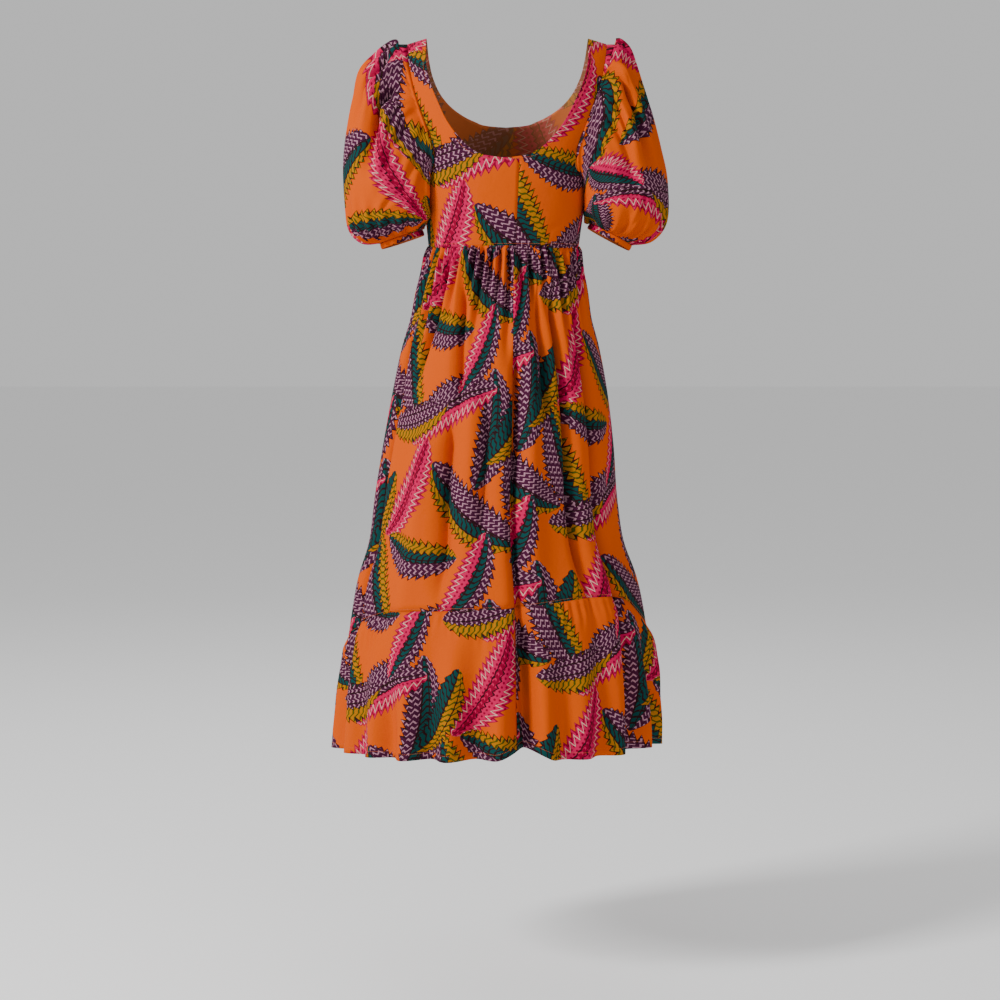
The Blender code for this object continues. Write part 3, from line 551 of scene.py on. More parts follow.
def bodice_side(neck, armhole, facing, centre_angle):
    """Angles and heights of a bodice panel's grid on the left side, waist row first."""
    low_rows, high_rows = BODICE_ROWS
    neck_angle, neck_z = edge_run(neck, facing, high_rows + 1)
    arm_angle, arm_z = edge_run(armhole, facing, high_rows + 1)
    side_angle = math.pi / 2
    low_z = WAIST_Z - WAIST_TUCK
    lower = np.linspace(0, 1, low_rows + 1)[:-1]
    neck_low = neck[-1, 0]
    inner_z = np.concatenate([low_z + (neck_low - low_z) * lower, neck_z[::-1]])
    outer_z = np.concatenate([low_z + (UNDERARM_Z - low_z) * lower, arm_z[::-1]])
    inner_angle = np.concatenate([np.full(low_rows, centre_angle), neck_angle[::-1]])
    outer_angle = np.concatenate([np.full(low_rows, side_angle), arm_angle[::-1]])
    inner_angle[low_rows] = centre_angle
    outer_angle[low_rows] = side_angle
    t = np.linspace(0, 1, BODICE_COLUMNS + 1)
    row = np.arange(len(inner_z))
    rise = row / low_rows
    fade = (len(row) - 1 - row) / (len(row) - 1 - low_rows)
    bend = np.clip(np.minimum(rise, fade), 0, 1)[:, None]
    early = (1 - bend) * t + bend * (1 - (1 - t)**NECK_BEND)
    angle = inner_angle[:, None] * (1 - t) + outer_angle[:, None] * t
    z = inner_z[:, None] * (1 - early) + outer_z[:, None] * early
    return angle, z


def bodice_height(angle, z):
    """The height of the bodice's creases, with its lower edge tucked into the skirt."""
    total = -WAIST_TUCK_DEPTH * smooth((WAIST_Z - z) / WAIST_TUCK) + 0 * angle
    for first, first_z, last, last_z, half, height in BODICE_CREASES:
        x = (angle - first) * BODICE_RADIUS
        along = np.array([(last - first) * BODICE_RADIUS, last_z - first_z])
        length = np.hypot(*along)
        along = along / length
        run = x * along[0] + (z - first_z) * along[1]
        side = (z - first_z) * along[0] - x * along[1]
        side = side + BODICE_CREASE_BEND * (run - length / 2)**2
        shape = between(run / length, 0, BODICE_CREASE_RISE, 1, BODICE_CREASE_FADE)
        total = total + height * shape * groove(side, half)
    return total


def skirt_base(turn, z):
    """A point of the skirt's hang, without its folds."""
    angle = TAU * turn
    power = 2 / SKIRT_ROUNDNESS
    half = table(SKIRT, z, 1)
    depth = np.where(np.cos(angle) >= 0, table(SKIRT, z, 2), -table(SKIRT, z, 3))
    x = half * rounded(np.sin(angle), power)
    y = depth * np.abs(np.cos(angle))**power
    return np.stack([x + table(SKIRT, z, 4), y, z + 0 * x], axis=-1)


def outward(turn):
    """The level outward direction of the skirt."""
    return np.stack([np.sin(TAU * turn), np.cos(TAU * turn), 0 * turn], axis=-1)


def level(turn, column):
    """The ruffle seam's or the hem's height at a turn."""
    return table(LEVELS, np.mod(turn, 1.0), column)


def fold_height(turn, fall, half_round):
    """The height of the skirt's large folds, where fall runs from 0 at the waist to 1."""
    total = 0 * turn
    for top, bottom, start, end, half, height in SKIRT_FOLDS:
        part = np.clip((fall - start) / (end - start), 0, 1)
        middle = top + (bottom - top) * part
        away = wrap(turn - middle) * TAU * half_round
        spread = half * (0.8 + 0.7 * part)
        pinch = min(height, 0.0) * PINCH_SHARE
        section = height * groove(away, spread) + pinch * groove(away, spread * PINCH_WIDTH)
        total = total + section * between(fall, start, FOLD_RISE, end, FOLD_FADE)
    return total


def sway(turn):
    """The wide, shallow waves that run all the way down the skirt."""
    return SKIRT_SWAY * np.cos(TAU * SKIRT_SWAYS * turn + SKIRT_SWAY_START)


def waist_pucker(turn, drop):
    """The height of the waist's gathers at a distance below the seam."""
    place = turn - BACK_SEAM_TURN
    drift = waves(turn, PUCKER_DRIFT)
    wave = np.cos(TAU * WAIST_PUCKERS * place + drift * smooth(drop / WAIST_DRIFT_GROWTH))
    length = WAIST_PUCKER_LENGTH + waves(turn, PUCKER_LENGTHS)
    growth = smooth(drop / WAIST_PUCKER_GROWTH)
    size = WAIST_PUCKER_AT_SEAM + (WAIST_PUCKER_BELOW - WAIST_PUCKER_AT_SEAM) * growth
    size = size * (1 + waves(turn, PUCKER_SIZES))
    fine = FINE_PUCKER * np.cos(TAU * FINE_PUCKERS * place + 2 * drift)
    fine = fine * between(drop, 0, FINE_PUCKER_RISE, FINE_PUCKER_LENGTH, FINE_PUCKER_LENGTH)
    return size * wave * (1 - smooth(drop / length)) + fine


def waist_crease(turn, drop):
    """The height of the longer creases that run down from the waist."""
    total = 0 * turn
    half_round = WAIST_RADIUS + WAIST_SPREAD * drop
    for start, slant, length, half, height in WAIST_CREASES:
        part = np.clip(drop / length, 0, 1)
        away = wrap(turn - start - slant * part) * TAU * half_round
        shape = smooth(drop / CREASE_RISE) * smooth((1 - part) / CREASE_FADE)
        width = half * (0.6 + 1.2 * part)
        total = total + height * shape * groove(away, width, CREASE_RIDGES)
    return total * CREASE_DEPTH


def skirt_point(turn, fall):
    """A point of the upper skirt, where fall runs from 0 at the waist to 1 at the ruffle."""
    top = WAIST_Z - SEAM_GAP / 2
    z = top + (level(turn, 1) + SEAM_GAP / 2 - top) * fall
    drop = top - z
    height = fold_height(turn, fall, table(SKIRT, z, 1)) + waist_pucker(turn, drop)
    height = height + waist_crease(turn, drop) + sway(turn) * smooth(fall)
    return skirt_base(turn, z) + outward(turn) * height[..., None]


def ruffle_wave(turn):
    """The ruffle's waves, unevenly deep and spaced."""
    size = RUFFLE_WAVE * (1 + waves(turn, RUFFLE_SIZES))
    return size * np.cos(TAU * RUFFLE_WAVES * turn + waves(turn, RUFFLE_DRIFT))


def ruffle_gather(turn, drop):
    """The height of the ruffle's gathers at a distance below its seam."""
    length = GATHER_LENGTH + waves(turn, GATHER_LENGTHS)
    size = GATHER * (1 + waves(turn, GATHER_SIZES))
    wave = np.cos(TAU * GATHERS * turn + waves(turn, GATHER_DRIFT))
    return size * wave * between(drop, 0, GATHER_RISE, length, length)


def ruffle_point(turn, fall):
    """A point of the ruffle, where fall runs from 0 at its seam to 1 at the hem."""
    seam = level(turn, 1) - SEAM_GAP / 2
    z = seam + (level(turn, 2) - seam) * fall
    start = fold_height(turn, 1.0 + 0 * turn, table(SKIRT, level(turn, 1), 1)) + sway(turn)
    height = start * (1 - smooth(fall)) + ruffle_wave(turn) * smooth(fall / RUFFLE_WAVE_RISE)
    for middle, begin, full_at, end, half, size in RUFFLE_FOLDS:
        away = wrap(turn - middle) * TAU * table(SKIRT, z, 1)
        shape = between(fall, begin, full_at - begin, end, RUFFLE_FOLD_FADE)
        height = height + size * shape * groove(away, half)
    step = RUFFLE_STEP * smooth(fall / RUFFLE_STEP_RISE) * (1 - RUFFLE_STEP_LOSS * smooth(fall))
    height = height + step
    height = height + ruffle_gather(turn, seam - z)
    return skirt_base(turn, z) + outward(turn) * height[..., None]


def armhole_loop(angles, side):
    """The sleeve's first ring: just outside the armhole, from the shoulder round the back."""
    count = BODICE_ROWS[1] + 1
    back_angle, back_z = edge_run(ARMHOLE_BACK, 1, count)
    front_angle, front_z = edge_run(ARMHOLE_FRONT, -1, count)
    angle = np.concatenate([back_angle[:-1], front_angle[::-1][:-1]])
    z = np.concatenate([back_z[:-1], front_z[::-1][:-1]])
    loop = torso_point(angle, z)
    along = np.roll(loop, -1, axis=0) - np.roll(loop, 1, axis=0)
    out = np.cross(along, torso_normal(angle, z))
    out = out / np.linalg.norm(out, axis=-1, keepdims=True)
    centre = loop.mean(axis=0)
    turned = np.sign(np.sum(out * (centre - loop), axis=-1, keepdims=True))
    loop = loop + out * turned * (SEAM_GAP + CLOTH / 2)
    if side < 0:
        loop[:, 0] = 2 * lean(loop[:, 2]) - loop[:, 0]
    share = np.mod(angles / TAU, 1.0)
    knots = np.linspace(0, 1, len(loop) + 1)
    wrapped = np.concatenate([loop, loop[:1]])
    return np.stack([np.interp(share, knots, wrapped[:, k]) for k in range(3)], axis=-1)


def clear_of_body(points):
    """Sleeve points moved out of the bodice and the top of the skirt, with a clearance."""
    moved = points.copy()
    for _ in range(CLEARING_ROUNDS):
        z = np.clip(moved[..., 2], WAIST_Z - CLEARED_BELOW_WAIST, 0)
        low = z < WAIST_Z
        half = np.where(low, table(SKIRT, z, 1), table(TORSO, z, 1)) + SLEEVE_CLEARANCE
        back = np.where(low, table(SKIRT, z, 2), table(TORSO, z, 2)) + SLEEVE_CLEARANCE
        front = np.where(low, table(SKIRT, z, 3), table(TORSO, z, 3)) + SLEEVE_CLEARANCE
        x = moved[..., 0] - lean(z)
        y = moved[..., 1]
        depth = np.where(y >= 0, back, front)
        power = TORSO_ROUNDNESS
        value = np.abs(x / half)**power + np.abs(y / depth)**power
        slope_x = power * rounded(x, power - 1) / half**power
        slope_y = power * rounded(y, power - 1) / depth**power
        size = slope_x**2 + slope_y**2 + 1e-9
        need = np.clip(1 - value, 0, None)
        moved[..., 0] += need * slope_x / size
        moved[..., 1] += need * slope_y / size
    return moved


def plain_ring(angles, side, sizes):
    """A rounded ring of a sleeve from its outer and inner ends and its half depth."""
    outer_x, outer_z, inner_x, inner_z, half_depth = sizes
    power = 2 / SLEEVE_ROUNDNESS
    out = rounded(np.cos(angles), power)
    x = (outer_x + inner_x) / 2 + (outer_x - inner_x) / 2 * out
    z = (outer_z + inner_z) / 2 + (outer_z - inner_z) / 2 * out
    return np.stack([side * x + LEAN, half_depth * rounded(np.sin(angles), power), z], axis=-1)


def sleeve_rings(angles, side):
    """All rings of a sleeve at given angles, from the armhole to the cuff."""
    armhole = armhole_loop(angles, side)
    difference = armhole - plain_ring(angles, side, ARMHOLE_RING)
    rings = [armhole]
    for number, sizes in enumerate(LEFT_RINGS if side > 0 else RIGHT_RINGS):
        share = ARMHOLE_SHARES[number] if number < len(ARMHOLE_SHARES) else 0
        rings.append(clear_of_body(plain_ring(angles, side, sizes) + difference * share))
    return np.array(rings)


def rings_between(rings, parts):
    """Rings at parts of the way from the armhole to the cuff, on smooth curves."""
    place = np.array(parts) * (len(rings) - 1)
    at = np.clip(place.astype(int), 0, len(rings) - 2)
    t = (place - at)[:, None, None]
    before = rings[np.clip(at - 1, 0, None)]
    start = rings[at]
    end = rings[at + 1]
    after = rings[np.clip(at + 2, None, len(rings) - 1)]
    bend = (2 * before - 5 * start + 4 * end - after) * t**2
    turn = (3 * start - before - 3 * end + after) * t**3
    return (2 * start + (end - before) * t + bend + turn) / 2


def spaced_rings(rings, parts):
    """Rings at parts of each column's own length, so that none bunch up at the underarm."""
    fine = rings_between(rings, np.linspace(0, 1, SPACING_STEPS))
    fine[1:] = clear_of_body(fine[1:])
    steps = np.linalg.norm(np.diff(fine, axis=0), axis=2)
    run = np.concatenate([np.zeros((1, steps.shape[1])), np.cumsum(steps, axis=0)])
    share = run / run[-1]
    spaced = np.empty((len(parts), fine.shape[1], 3))
    for column in range(fine.shape[1]):
        for axis in range(3):
            spaced[:, column, axis] = np.interp(parts, share[:, column], fine[:, column, axis])
    return spaced


def relaxed(grid, angles, parts):
    """Sleeve points evened out below the underarm, where the cloth turns sharply."""
    away = np.abs(from_top(angles))[None, :] - CAP_ANGLE
    weight = smooth((away + RELAX_REACH) / RELAX_REACH)
    weight = weight * between(parts[:, None], RELAX_START, RELAX_GROWTH, RELAX_END, RELAX_FADE)
    weight = weight[1:-1, :, None]
    for _ in range(RELAX_ROUNDS):
        round_way = np.roll(grid, 1, axis=1) + np.roll(grid, -1, axis=1)
        mean = (round_way[1:-1] + grid[:-2] + grid[2:]) / 4
        grid[1:-1] += (mean - grid[1:-1]) * weight
        grid[1:] = clear_of_body(grid[1:])
    return grid


def sleeve_form(angles, parts, side):
    """A sleeve's form without its puckers and folds, evened out as its solid is."""
    cap = np.linspace(0, CAP_ANGLE, CAP_COLUMNS + 1)
    half_round = np.concatenate([cap, np.linspace(CAP_ANGLE, math.pi, UNDERARM_COLUMNS + 1)[1:]])
    knots = np.concatenate([half_round, TAU - half_round[1:-1][::-1]])
    levels = np.array(SLEEVE_PARTS)
    plain = spaced_rings(sleeve_rings(knots, side), levels)
    change = relaxed(plain.copy(), knots, levels) - plain
    around = np.concatenate([knots, [TAU]])
    grid = spaced_rings(sleeve_rings(angles, side), parts)
    for axis in range(3):
        rows = np.concatenate([change[..., axis], change[:, :1, axis]], axis=1)
        wide = np.array([np.interp(angles, around, row) for row in rows])
        grid[..., axis] += np.array([np.interp(parts, levels, column) for column in wide.T]).T
    return grid


def pucker_count(angles):
    """The number of sleeve puckers passed from the top of the sleeve to an angle."""
    turn = from_top(angles)
    rest = math.pi - CAP_ANGLE
    inside = np.clip(np.abs(turn), 0, CAP_ANGLE) / CAP_ANGLE * CAP_PUCKERS / 2
    outside = np.clip(np.abs(turn) - CAP_ANGLE, 0, rest) / rest * (SLEEVE_PUCKERS - CAP_PUCKERS) / 2
    return np.sign(turn) * (inside + outside)


def edge_puckers(rows, count, part, side):
    """The height of the puckers at one edge of a sleeve."""
    total = 0 * count * part
    for height, finer, start, rise, end, fade, uneven in rows:
        more = uneven * np.sin(3.1 * count + side)
        shape = between(part, start, rise, end + more, fade + more)
        total = total + height * np.cos(TAU * finer * count) * shape
    return total


def sleeve_height(angles, part, side):
    """The height of a sleeve's puckers and folds, where part runs from armhole to cuff."""
    count = pucker_count(angles)
    over_cap = smooth((CAP_ANGLE + 0.1 - np.abs(from_top(angles))) / 0.3)
    total = edge_puckers(CAP_PUCKER_ROWS, count, part, side) * over_cap
    total = total + edge_puckers(HEM_PUCKER_ROWS, count, part, side)
    folds = LEFT_SLEEVE_FOLDS if side > 0 else RIGHT_SLEEVE_FOLDS
    for degrees, start, end, half, height in folds:
        away = from_top(angles - math.radians(degrees))
        shape = between(part, start, SLEEVE_FOLD_RISE, end, SLEEVE_FOLD_FADE)
        total = total + height * shape * groove(away, math.radians(half))
    own = LEFT_SLEEVE_CREASES if side > 0 else RIGHT_SLEEVE_CREASES
    for first, start, last, end, half, height in np.concatenate([SLEEVE_CREASES, own]):
        run = np.clip((part - start) / (end - start), 0, 1)
        away = from_top(angles - np.radians(first + (last - first) * run))
        width = math.radians(half) * (0.7 + 0.6 * run)
        section = groove(away, width, SLEEVE_RIDGES, SLEEVE_RIDGE_PLACE)
        total = total + height * between(run, 0, SLEEVE_CREASE_RISE, 1, SLEEVE_CREASE_FADE) * section
    return total


def grid_normals(grid, closed):
    """Unit normals of a grid of points, from the points on each side."""
    if closed:
        round_way = np.roll(grid, -1, axis=1) - np.roll(grid, 1, axis=1)
    else:
        round_way = np.gradient(grid, axis=1)
    down_way = np.gradient(grid, axis=0)
    return across(round_way, down_way)


def outward_tube(grid, normals):
    """Normals of a tube turned to face out of it."""
    centre = grid.mean(axis=1, keepdims=True)
    return normals * np.sign(np.sum(normals * (grid - centre)))


def maths(kind, turned=False):
    """A method that makes one kind of Math node, with its values in order or turned round."""
    def method(self, *others):
        values = others + (self,) if turned else (self,) + others
        return self.math(kind, *values)
    return method


class Value:
    """A shader value that works with Python's operators."""

    def __init__(self, tree, socket):
        self.tree = tree
        self.socket = socket

    def math(self, kind, *values):
        node = self.tree.nodes.new("ShaderNodeMath")
        node.operation = kind
        for place, value in enumerate(values):
            if isinstance(value, Value):
                self.tree.links.new(value.socket, node.inputs[place])
            else:
                node.inputs[place].default_value = value
        return Value(self.tree, node.outputs[0])

    __add__ = maths("ADD")
    __sub__ = maths("SUBTRACT")
    __rsub__ = maths("SUBTRACT", True)
    __mul__ = maths("MULTIPLY")
    __truediv__ = maths("DIVIDE")
    times_plus = maths("MULTIPLY_ADD")
    floor = maths("FLOOR")
    round = maths("ROUND")
    fract = maths("FRACT")
    abs = maths("ABSOLUTE")
    at_least = maths("MAXIMUM")
    at_most = maths("MINIMUM")
    below = maths("LESS_THAN")
    above = maths("GREATER_THAN")
    power = maths("POWER")

    def zigzag(self):
        """A wave of straight lines from 0 to 1 and back, once for each 1 of the value."""
        return (self.fract() - 0.5).abs() * 2.0


def add_node(tree, kind, inputs, **settings):
    """A shader node with its settings, and with a value or a link for each input."""
    node = tree.nodes.new(kind)
    for name, value in settings.items():
        setattr(node, name, value)
    for name, value in inputs.items():
        if isinstance(value, bpy.types.NodeSocket):
            tree.links.new(value, node.inputs[name])
        else:
            node.inputs[name].default_value = value
    return node


# Colours of the print, linear.
ORANGE = (0.540, 0.070, 0.0005, 1)
AUBERGINE = (0.048, 0.007, 0.027, 1)
LILAC = (0.330, 0.165, 0.215, 1)
PINK = (0.470, 0.007, 0.068, 1)
CRIMSON = (0.210, 0.002, 0.022, 1)
TEAL = (0.003, 0.048, 0.046, 1)
INK = (0.020, 0.006, 0.007, 1)
MUSTARD = (0.350, 0.125, 0.001, 1)
OLIVE = (0.050, 0.055, 0.005, 1)
CREAM = (0.540, 0.350, 0.270, 1)
WRONG_SIDE_COLOUR = (0.52, 0.22, 0.09, 1)
WRONG_SIDE_FADE = 0.45
THREAD_COLOUR = (0.55, 0.10, 0.008, 1)
PAPER_COLOUR = (0.92, 0.92, 0.92, 1)

# The print repeats on a tile, and each column of tiles is dropped by a share of the height.
TILE_WIDTH = 0.30
TILE_HEIGHT = 0.37
TILE_DROP = 0.41

# Kinds of marking: ground, mark.
KINDS = ((AUBERGINE, LILAC), (TEAL, INK), (MUSTARD, OLIVE), (PINK, CRIMSON), (CRIMSON, PINK))
VIOLET_DASH, TEAL_BARB, GOLD_BARB, PINK_DOT, RED_DASH = range(5)

# Leaves of one tile, the lowest layer first: centre across and up, angle in degrees, length,
# half width, bend, the three bands across the leaf, and the two limits between them (-1 to 1).
LEAVES = (
    (0.08, 0.54, 98, 0.200, 0.043, -2.0, VIOLET_DASH, TEAL_BARB, VIOLET_DASH, -0.30, 0.22),
    (0.24, 0.17, 36, 0.225, 0.047, 1.8, GOLD_BARB, TEAL_BARB, VIOLET_DASH, -0.46, -0.02),
    (0.66, 0.26, 122, 0.190, 0.042, -2.2, PINK_DOT, RED_DASH, PINK_DOT, -0.18, 0.18),
    (0.87, 0.80, 64, 0.220, 0.047, 1.8, VIOLET_DASH, TEAL_BARB, GOLD_BARB, 0.00, 0.46),
    (0.43, 0.66, -26, 0.210, 0.046, -2.0, PINK_DOT, VIOLET_DASH, VIOLET_DASH, -0.20, 0.04),
    (0.58, 0.98, 10, 0.170, 0.037, 2.4, VIOLET_DASH, TEAL_BARB, GOLD_BARB, -0.10, 0.44),
    (0.96, 0.15, -58, 0.160, 0.035, 2.0, GOLD_BARB, GOLD_BARB, TEAL_BARB, -0.50, 0.0),
    (0.70, 0.57, 168, 0.170, 0.036, -2.0, VIOLET_DASH, VIOLET_DASH, GOLD_BARB, -0.50, 0.30),
    (0.20, 0.88, -62, 0.165, 0.036, 2.2, VIOLET_DASH, TEAL_BARB, PINK_DOT, -0.36, 0.16),
)
TOOTH = 0.0125
TOOTH_SLANT = 0.020
TOOTH_SHARE = 0.24
LEAF_SWELL = 2.24
TIP_ROUNDNESS = 0.62
LEAST_WIDTH = 0.00001
OUTSIDE = (0.0, 9.0, 9.0)

# Markings on a leaf: steps in metres along and across it, and shares of one step.
DASH_STEP = 0.0095
DASH_ZIGZAG = 0.0085
DASH_LENGTH = 0.017
DASH_SLANT = 0.55
DASH_SWAY = 0.55
DASH_HALF = 0.165
DASH_GAP = 0.16
DOT_STEP = 0.0075
DOT_SIZE = 0.070
BARB_STEP = 0.0105
BARB_ZIGZAG = 0.0110
BARB_SLANT = 0.9
BARB_SWAY = 0.35
BARB_SHARE = 0.34

# Edges on a leaf, as shares of its half width.
BAND_TEETH = 0.12
RIM_TEETH = 0.16
RIM_START = 0.98
RIBBON_START = 0.72
RIBBON_END = 0.79
LINE_HALF = 0.035


def picked(factor, first, second):
    """Two triples, as numbers or sockets, mixed by a factor."""
    inputs = {0: factor.socket, 4: first, 5: second}
    return add_node(factor.tree, "ShaderNodeMix", inputs, data_type="VECTOR").outputs[1]


def coloured(factor, first, second):
    """Two colours, as numbers or sockets, mixed by a factor."""
    inputs = {0: factor.socket, 6: first, 7: second}
    return add_node(factor.tree, "ShaderNodeMix", inputs, data_type="RGBA").outputs[2]


def parts_of(tree, socket):
    """The three numbers of a triple."""
    node = add_node(tree, "ShaderNodeSeparateXYZ", {0: socket})
    return [Value(tree, output) for output in node.outputs]


def print_colour(tree):
    """The print's colour from the cloth's flat coordinates in metres."""
    cloth_place = add_node(tree, "ShaderNodeUVMap", {}, uv_map="flat").outputs[0]
    across_cloth, up_cloth, _ = parts_of(tree, cloth_place)
    spot = OUTSIDE
    kinds = (0.0, 0.0, 0.0)
    limits = (0.0, 0.0, 0.0)
    for leaf in LEAVES:
        centre_x, centre_y, degrees, length, half, bend, low, middle, high, first, second = leaf
        a = across_cloth.times_plus(1 / TILE_WIDTH, -centre_x)
        column = a.round()
        x = a - column
        b = up_cloth.times_plus(1 / TILE_HEIGHT, column.times_plus(TILE_DROP, -centre_y))
        y = b - b.round()
        cosine = math.cos(math.radians(degrees))
        sine = math.sin(math.radians(degrees))
        along = x.times_plus(TILE_WIDTH * cosine, y * (TILE_HEIGHT * sine))
        level_side = y.times_plus(TILE_HEIGHT * cosine, x * (-TILE_WIDTH * sine))
        side = (along * along).times_plus(-bend, level_side)
        share = along.times_plus(1 / length, 0.5)
        tooth = along.times_plus(1 / TOOTH, side.abs() * (-1 / TOOTH_SLANT)).zigzag()
        bulge = (share * (1.0 - share)).at_least(0.0).power(TIP_ROUNDNESS)
        width = bulge * tooth.times_plus(-TOOTH_SHARE * half * LEAF_SWELL, half * LEAF_SWELL)
        place = side / (width + LEAST_WIDTH)
        inside = place.abs().below(1.0)
        inputs = {0: along.socket, 1: side.socket, 2: place.socket}
        here = add_node(tree, "ShaderNodeCombineXYZ", inputs)
        spot = picked(inside, spot, here.outputs[0])
        kinds = picked(inside, kinds, (float(low), float(middle), float(high)))
        limits = picked(inside, limits, (first, second, 0.0))
    along, side, place = parts_of(tree, spot)
    low, middle, high = parts_of(tree, kinds)
    first, second, _ = parts_of(tree, limits)
    slant = side.abs()
    tooth = along.times_plus(1 / TOOTH, slant * (-1 / TOOTH_SLANT)).zigzag()
    edge = place + tooth * BAND_TEETH
    past_first = edge.above(first)
    past_second = edge.above(second)
    kind = low + past_first * (middle - low)
    kind = kind + past_second * (high - kind)
    dash_row = slant.times_plus(DASH_SLANT / DASH_STEP, along * (1 / DASH_STEP))
    dash_line = (side / DASH_ZIGZAG).zigzag().times_plus(DASH_SWAY, dash_row)
    dash_run = dash_row.floor().times_plus(0.5, side * (1 / DASH_LENGTH))
    dash = (dash_line.fract() - 0.5).abs().below(DASH_HALF) * dash_run.fract().above(DASH_GAP)
    dot_row = side * (1 / DOT_STEP)
    dot_side = dot_row.fract() - 0.5
    dot_along = dot_row.floor().times_plus(0.5, along * (1 / DOT_STEP)).fract() - 0.5
    dot = (dot_side * dot_side + dot_along * dot_along).below(DOT_SIZE)
    barb_row = slant.times_plus(BARB_SLANT / BARB_STEP, along * (1 / BARB_STEP))
    barb = (side / BARB_ZIGZAG).zigzag().times_plus(BARB_SWAY, barb_row).fract().below(BARB_SHARE)
    marks = {VIOLET_DASH: dash, TEAL_BARB: barb, GOLD_BARB: barb, PINK_DOT: dot, RED_DASH: dash}
    shade = None
    for number, (ground, mark) in enumerate(KINDS):
        made = coloured(marks[number], ground, mark)
        shade = made if shade is None else coloured(kind.above(number - 0.5), shade, made)
    rosy = kind.above(PINK_DOT - 0.5)
    rim = coloured(rosy, INK, CRIMSON)
    wavy = tooth.times_plus(RIM_TEETH, place.abs())
    ribbon = wavy.above(RIBBON_START) * wavy.below(RIBBON_END) * rosy
    shade = coloured(ribbon, shade, CREAM)
    border = (edge - first).abs().at_most((edge - second).abs())
    shade = coloured(border.below(LINE_HALF), shade, INK)
    shade = coloured(wavy.above(RIM_START), shade, rim)
    shade = coloured(place.abs().below(LINE_HALF), shade, rim)
    return coloured(place.abs().below(1.0), ORANGE, shade)


def cloth_material(name, wrong_side):
    """Printed cotton, by its right or its paler wrong side."""
    material = bpy.data.materials.new(name)
    material.use_nodes = True
    tree = material.node_tree
    colour = print_colour(tree)
    if wrong_side:
        inputs = {0: WRONG_SIDE_FADE, 6: colour, 7: WRONG_SIDE_COLOUR}
        colour = add_node(tree, "ShaderNodeMix", inputs, data_type="RGBA").outputs[2]
    place = add_node(tree, "ShaderNodeUVMap", {}, uv_map="flat").outputs[0]
    weave = add_node(tree, "ShaderNodeTexChecker", {"Scale": 2200, "Vector": place}).outputs[1]
    point = add_node(tree, "ShaderNodeTexCoord", {}).outputs["Object"]
    inputs = {"Scale": 34, "Detail": 3, "Vector": point}
    crumple = add_node(tree, "ShaderNodeTexNoise", inputs).outputs[0]
    inputs = {"Strength": 0.12, "Distance": 0.0001, "Height": weave}
    fine = add_node(tree, "ShaderNodeBump", inputs).outputs[0]
    inputs = {"Strength": 0.35, "Distance": 0.004, "Height": crumple, "Normal": fine}
    soft = add_node(tree, "ShaderNodeBump", inputs).outputs[0]
    shader = tree.nodes["Principled BSDF"]
    tree.links.new(colour, shader.inputs["Base Color"])
    tree.links.new(soft, shader.inputs["Normal"])
    shader.inputs["Roughness"].default_value = 0.80
    shader.inputs["Specular IOR Level"].default_value = 0.03
    shader.inputs["Sheen Weight"].default_value = 0.005
    shader.inputs["Sheen Roughness"].default_value = 0.5
    return material


RIGHT_SIDE = cloth_material("printed_cotton", False)
WRONG_SIDE = cloth_material("printed_cotton_wrong_side", True)


def plain_material(name, colour, roughness):
    """A material of one colour."""
    material = bpy.data.materials.new(name)
    material.use_nodes = True
    shader = material.node_tree.nodes["Principled BSDF"]
    shader.inputs["Base Color"].default_value = colour
    shader.inputs["Roughness"].default_value = roughness
    return material


THREAD = plain_material("thread", THREAD_COLOUR, 0.5)


def add_object(name, data):
    """A new object in the scene."""
    made = bpy.data.objects.new(name, data)
    bpy.context.scene.collection.objects.link(made)
    return made


def grid_faces(rows, columns, closed):
    """Faces of a grid of points."""
    faces = []
    wide = columns if closed else columns - 1
    for row in range(rows - 1):
        for column in range(wide):
            right = (column + 1) % columns
            a = row * columns
            b = a + columns
            faces.append((a + column, b + column, b + right, a + right))
    return faces


def shell(name, points, flat, faces, corners, replaced, normals):
    """A thin cloth shell, with its flat coordinates and its paler wrong side."""
    mesh = bpy.data.meshes.new(name)
    mesh.from_pydata(points.tolist(), [], faces)
    first = mesh.polygons[0]
    if np.dot(np.array(first.normal), normals[first.vertices[0]]) < 0:
        mesh.flip_normals()
    layer = mesh.uv_layers.new(name="flat")
    loops = np.empty(len(mesh.loops), dtype=np.int64)
    mesh.loops.foreach_get("vertex_index", loops)
    uv = flat[loops]
    if corners is not None:
        uv = uv + corners(mesh, loops)
    layer.data.foreach_set("uv", uv.astype(np.float32).ravel())
    mesh.materials.append(RIGHT_SIDE)
    mesh.materials.append(WRONG_SIDE)
    mesh.shade_smooth()
    piece = add_object(name, mesh)
    thick = piece.modifiers.new("thickness", "SOLIDIFY")
    thick.thickness = CLOTH
    thick.offset = 0
    thick.material_offset = 1
    thick.material_offset_rim = 0
    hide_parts(replaced)
    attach(piece, "root")
    return piece


def wrap_corner(width, columns):
    """Moves the flat coordinates of the faces that close a tube on by its width."""
    def move(mesh, loops):
        column = loops % columns
        starts = np.empty(len(mesh.polygons), dtype=np.int64)
        mesh.polygons.foreach_get("loop_start", starts)
        shift = np.zeros((len(loops), 2))
        for corner in range(4):
            at = starts + corner
            others = np.stack([column[starts + k] for k in range(4)])
            closing = others.max(axis=0) - others.min(axis=0) > 1
            shift[at, 0] = np.where(closing & (column[at] == 0), width, 0)
        return shift
    return move


# Half of a seam's gap as a length and as a share of the skirt's turn, and the back seam's angle.
half_gap = SEAM_GAP / 2
half_gap_turn = half_gap / (TAU * SEAM_RADIUS)
back_angle = TAU * BACK_SEAM_TURN


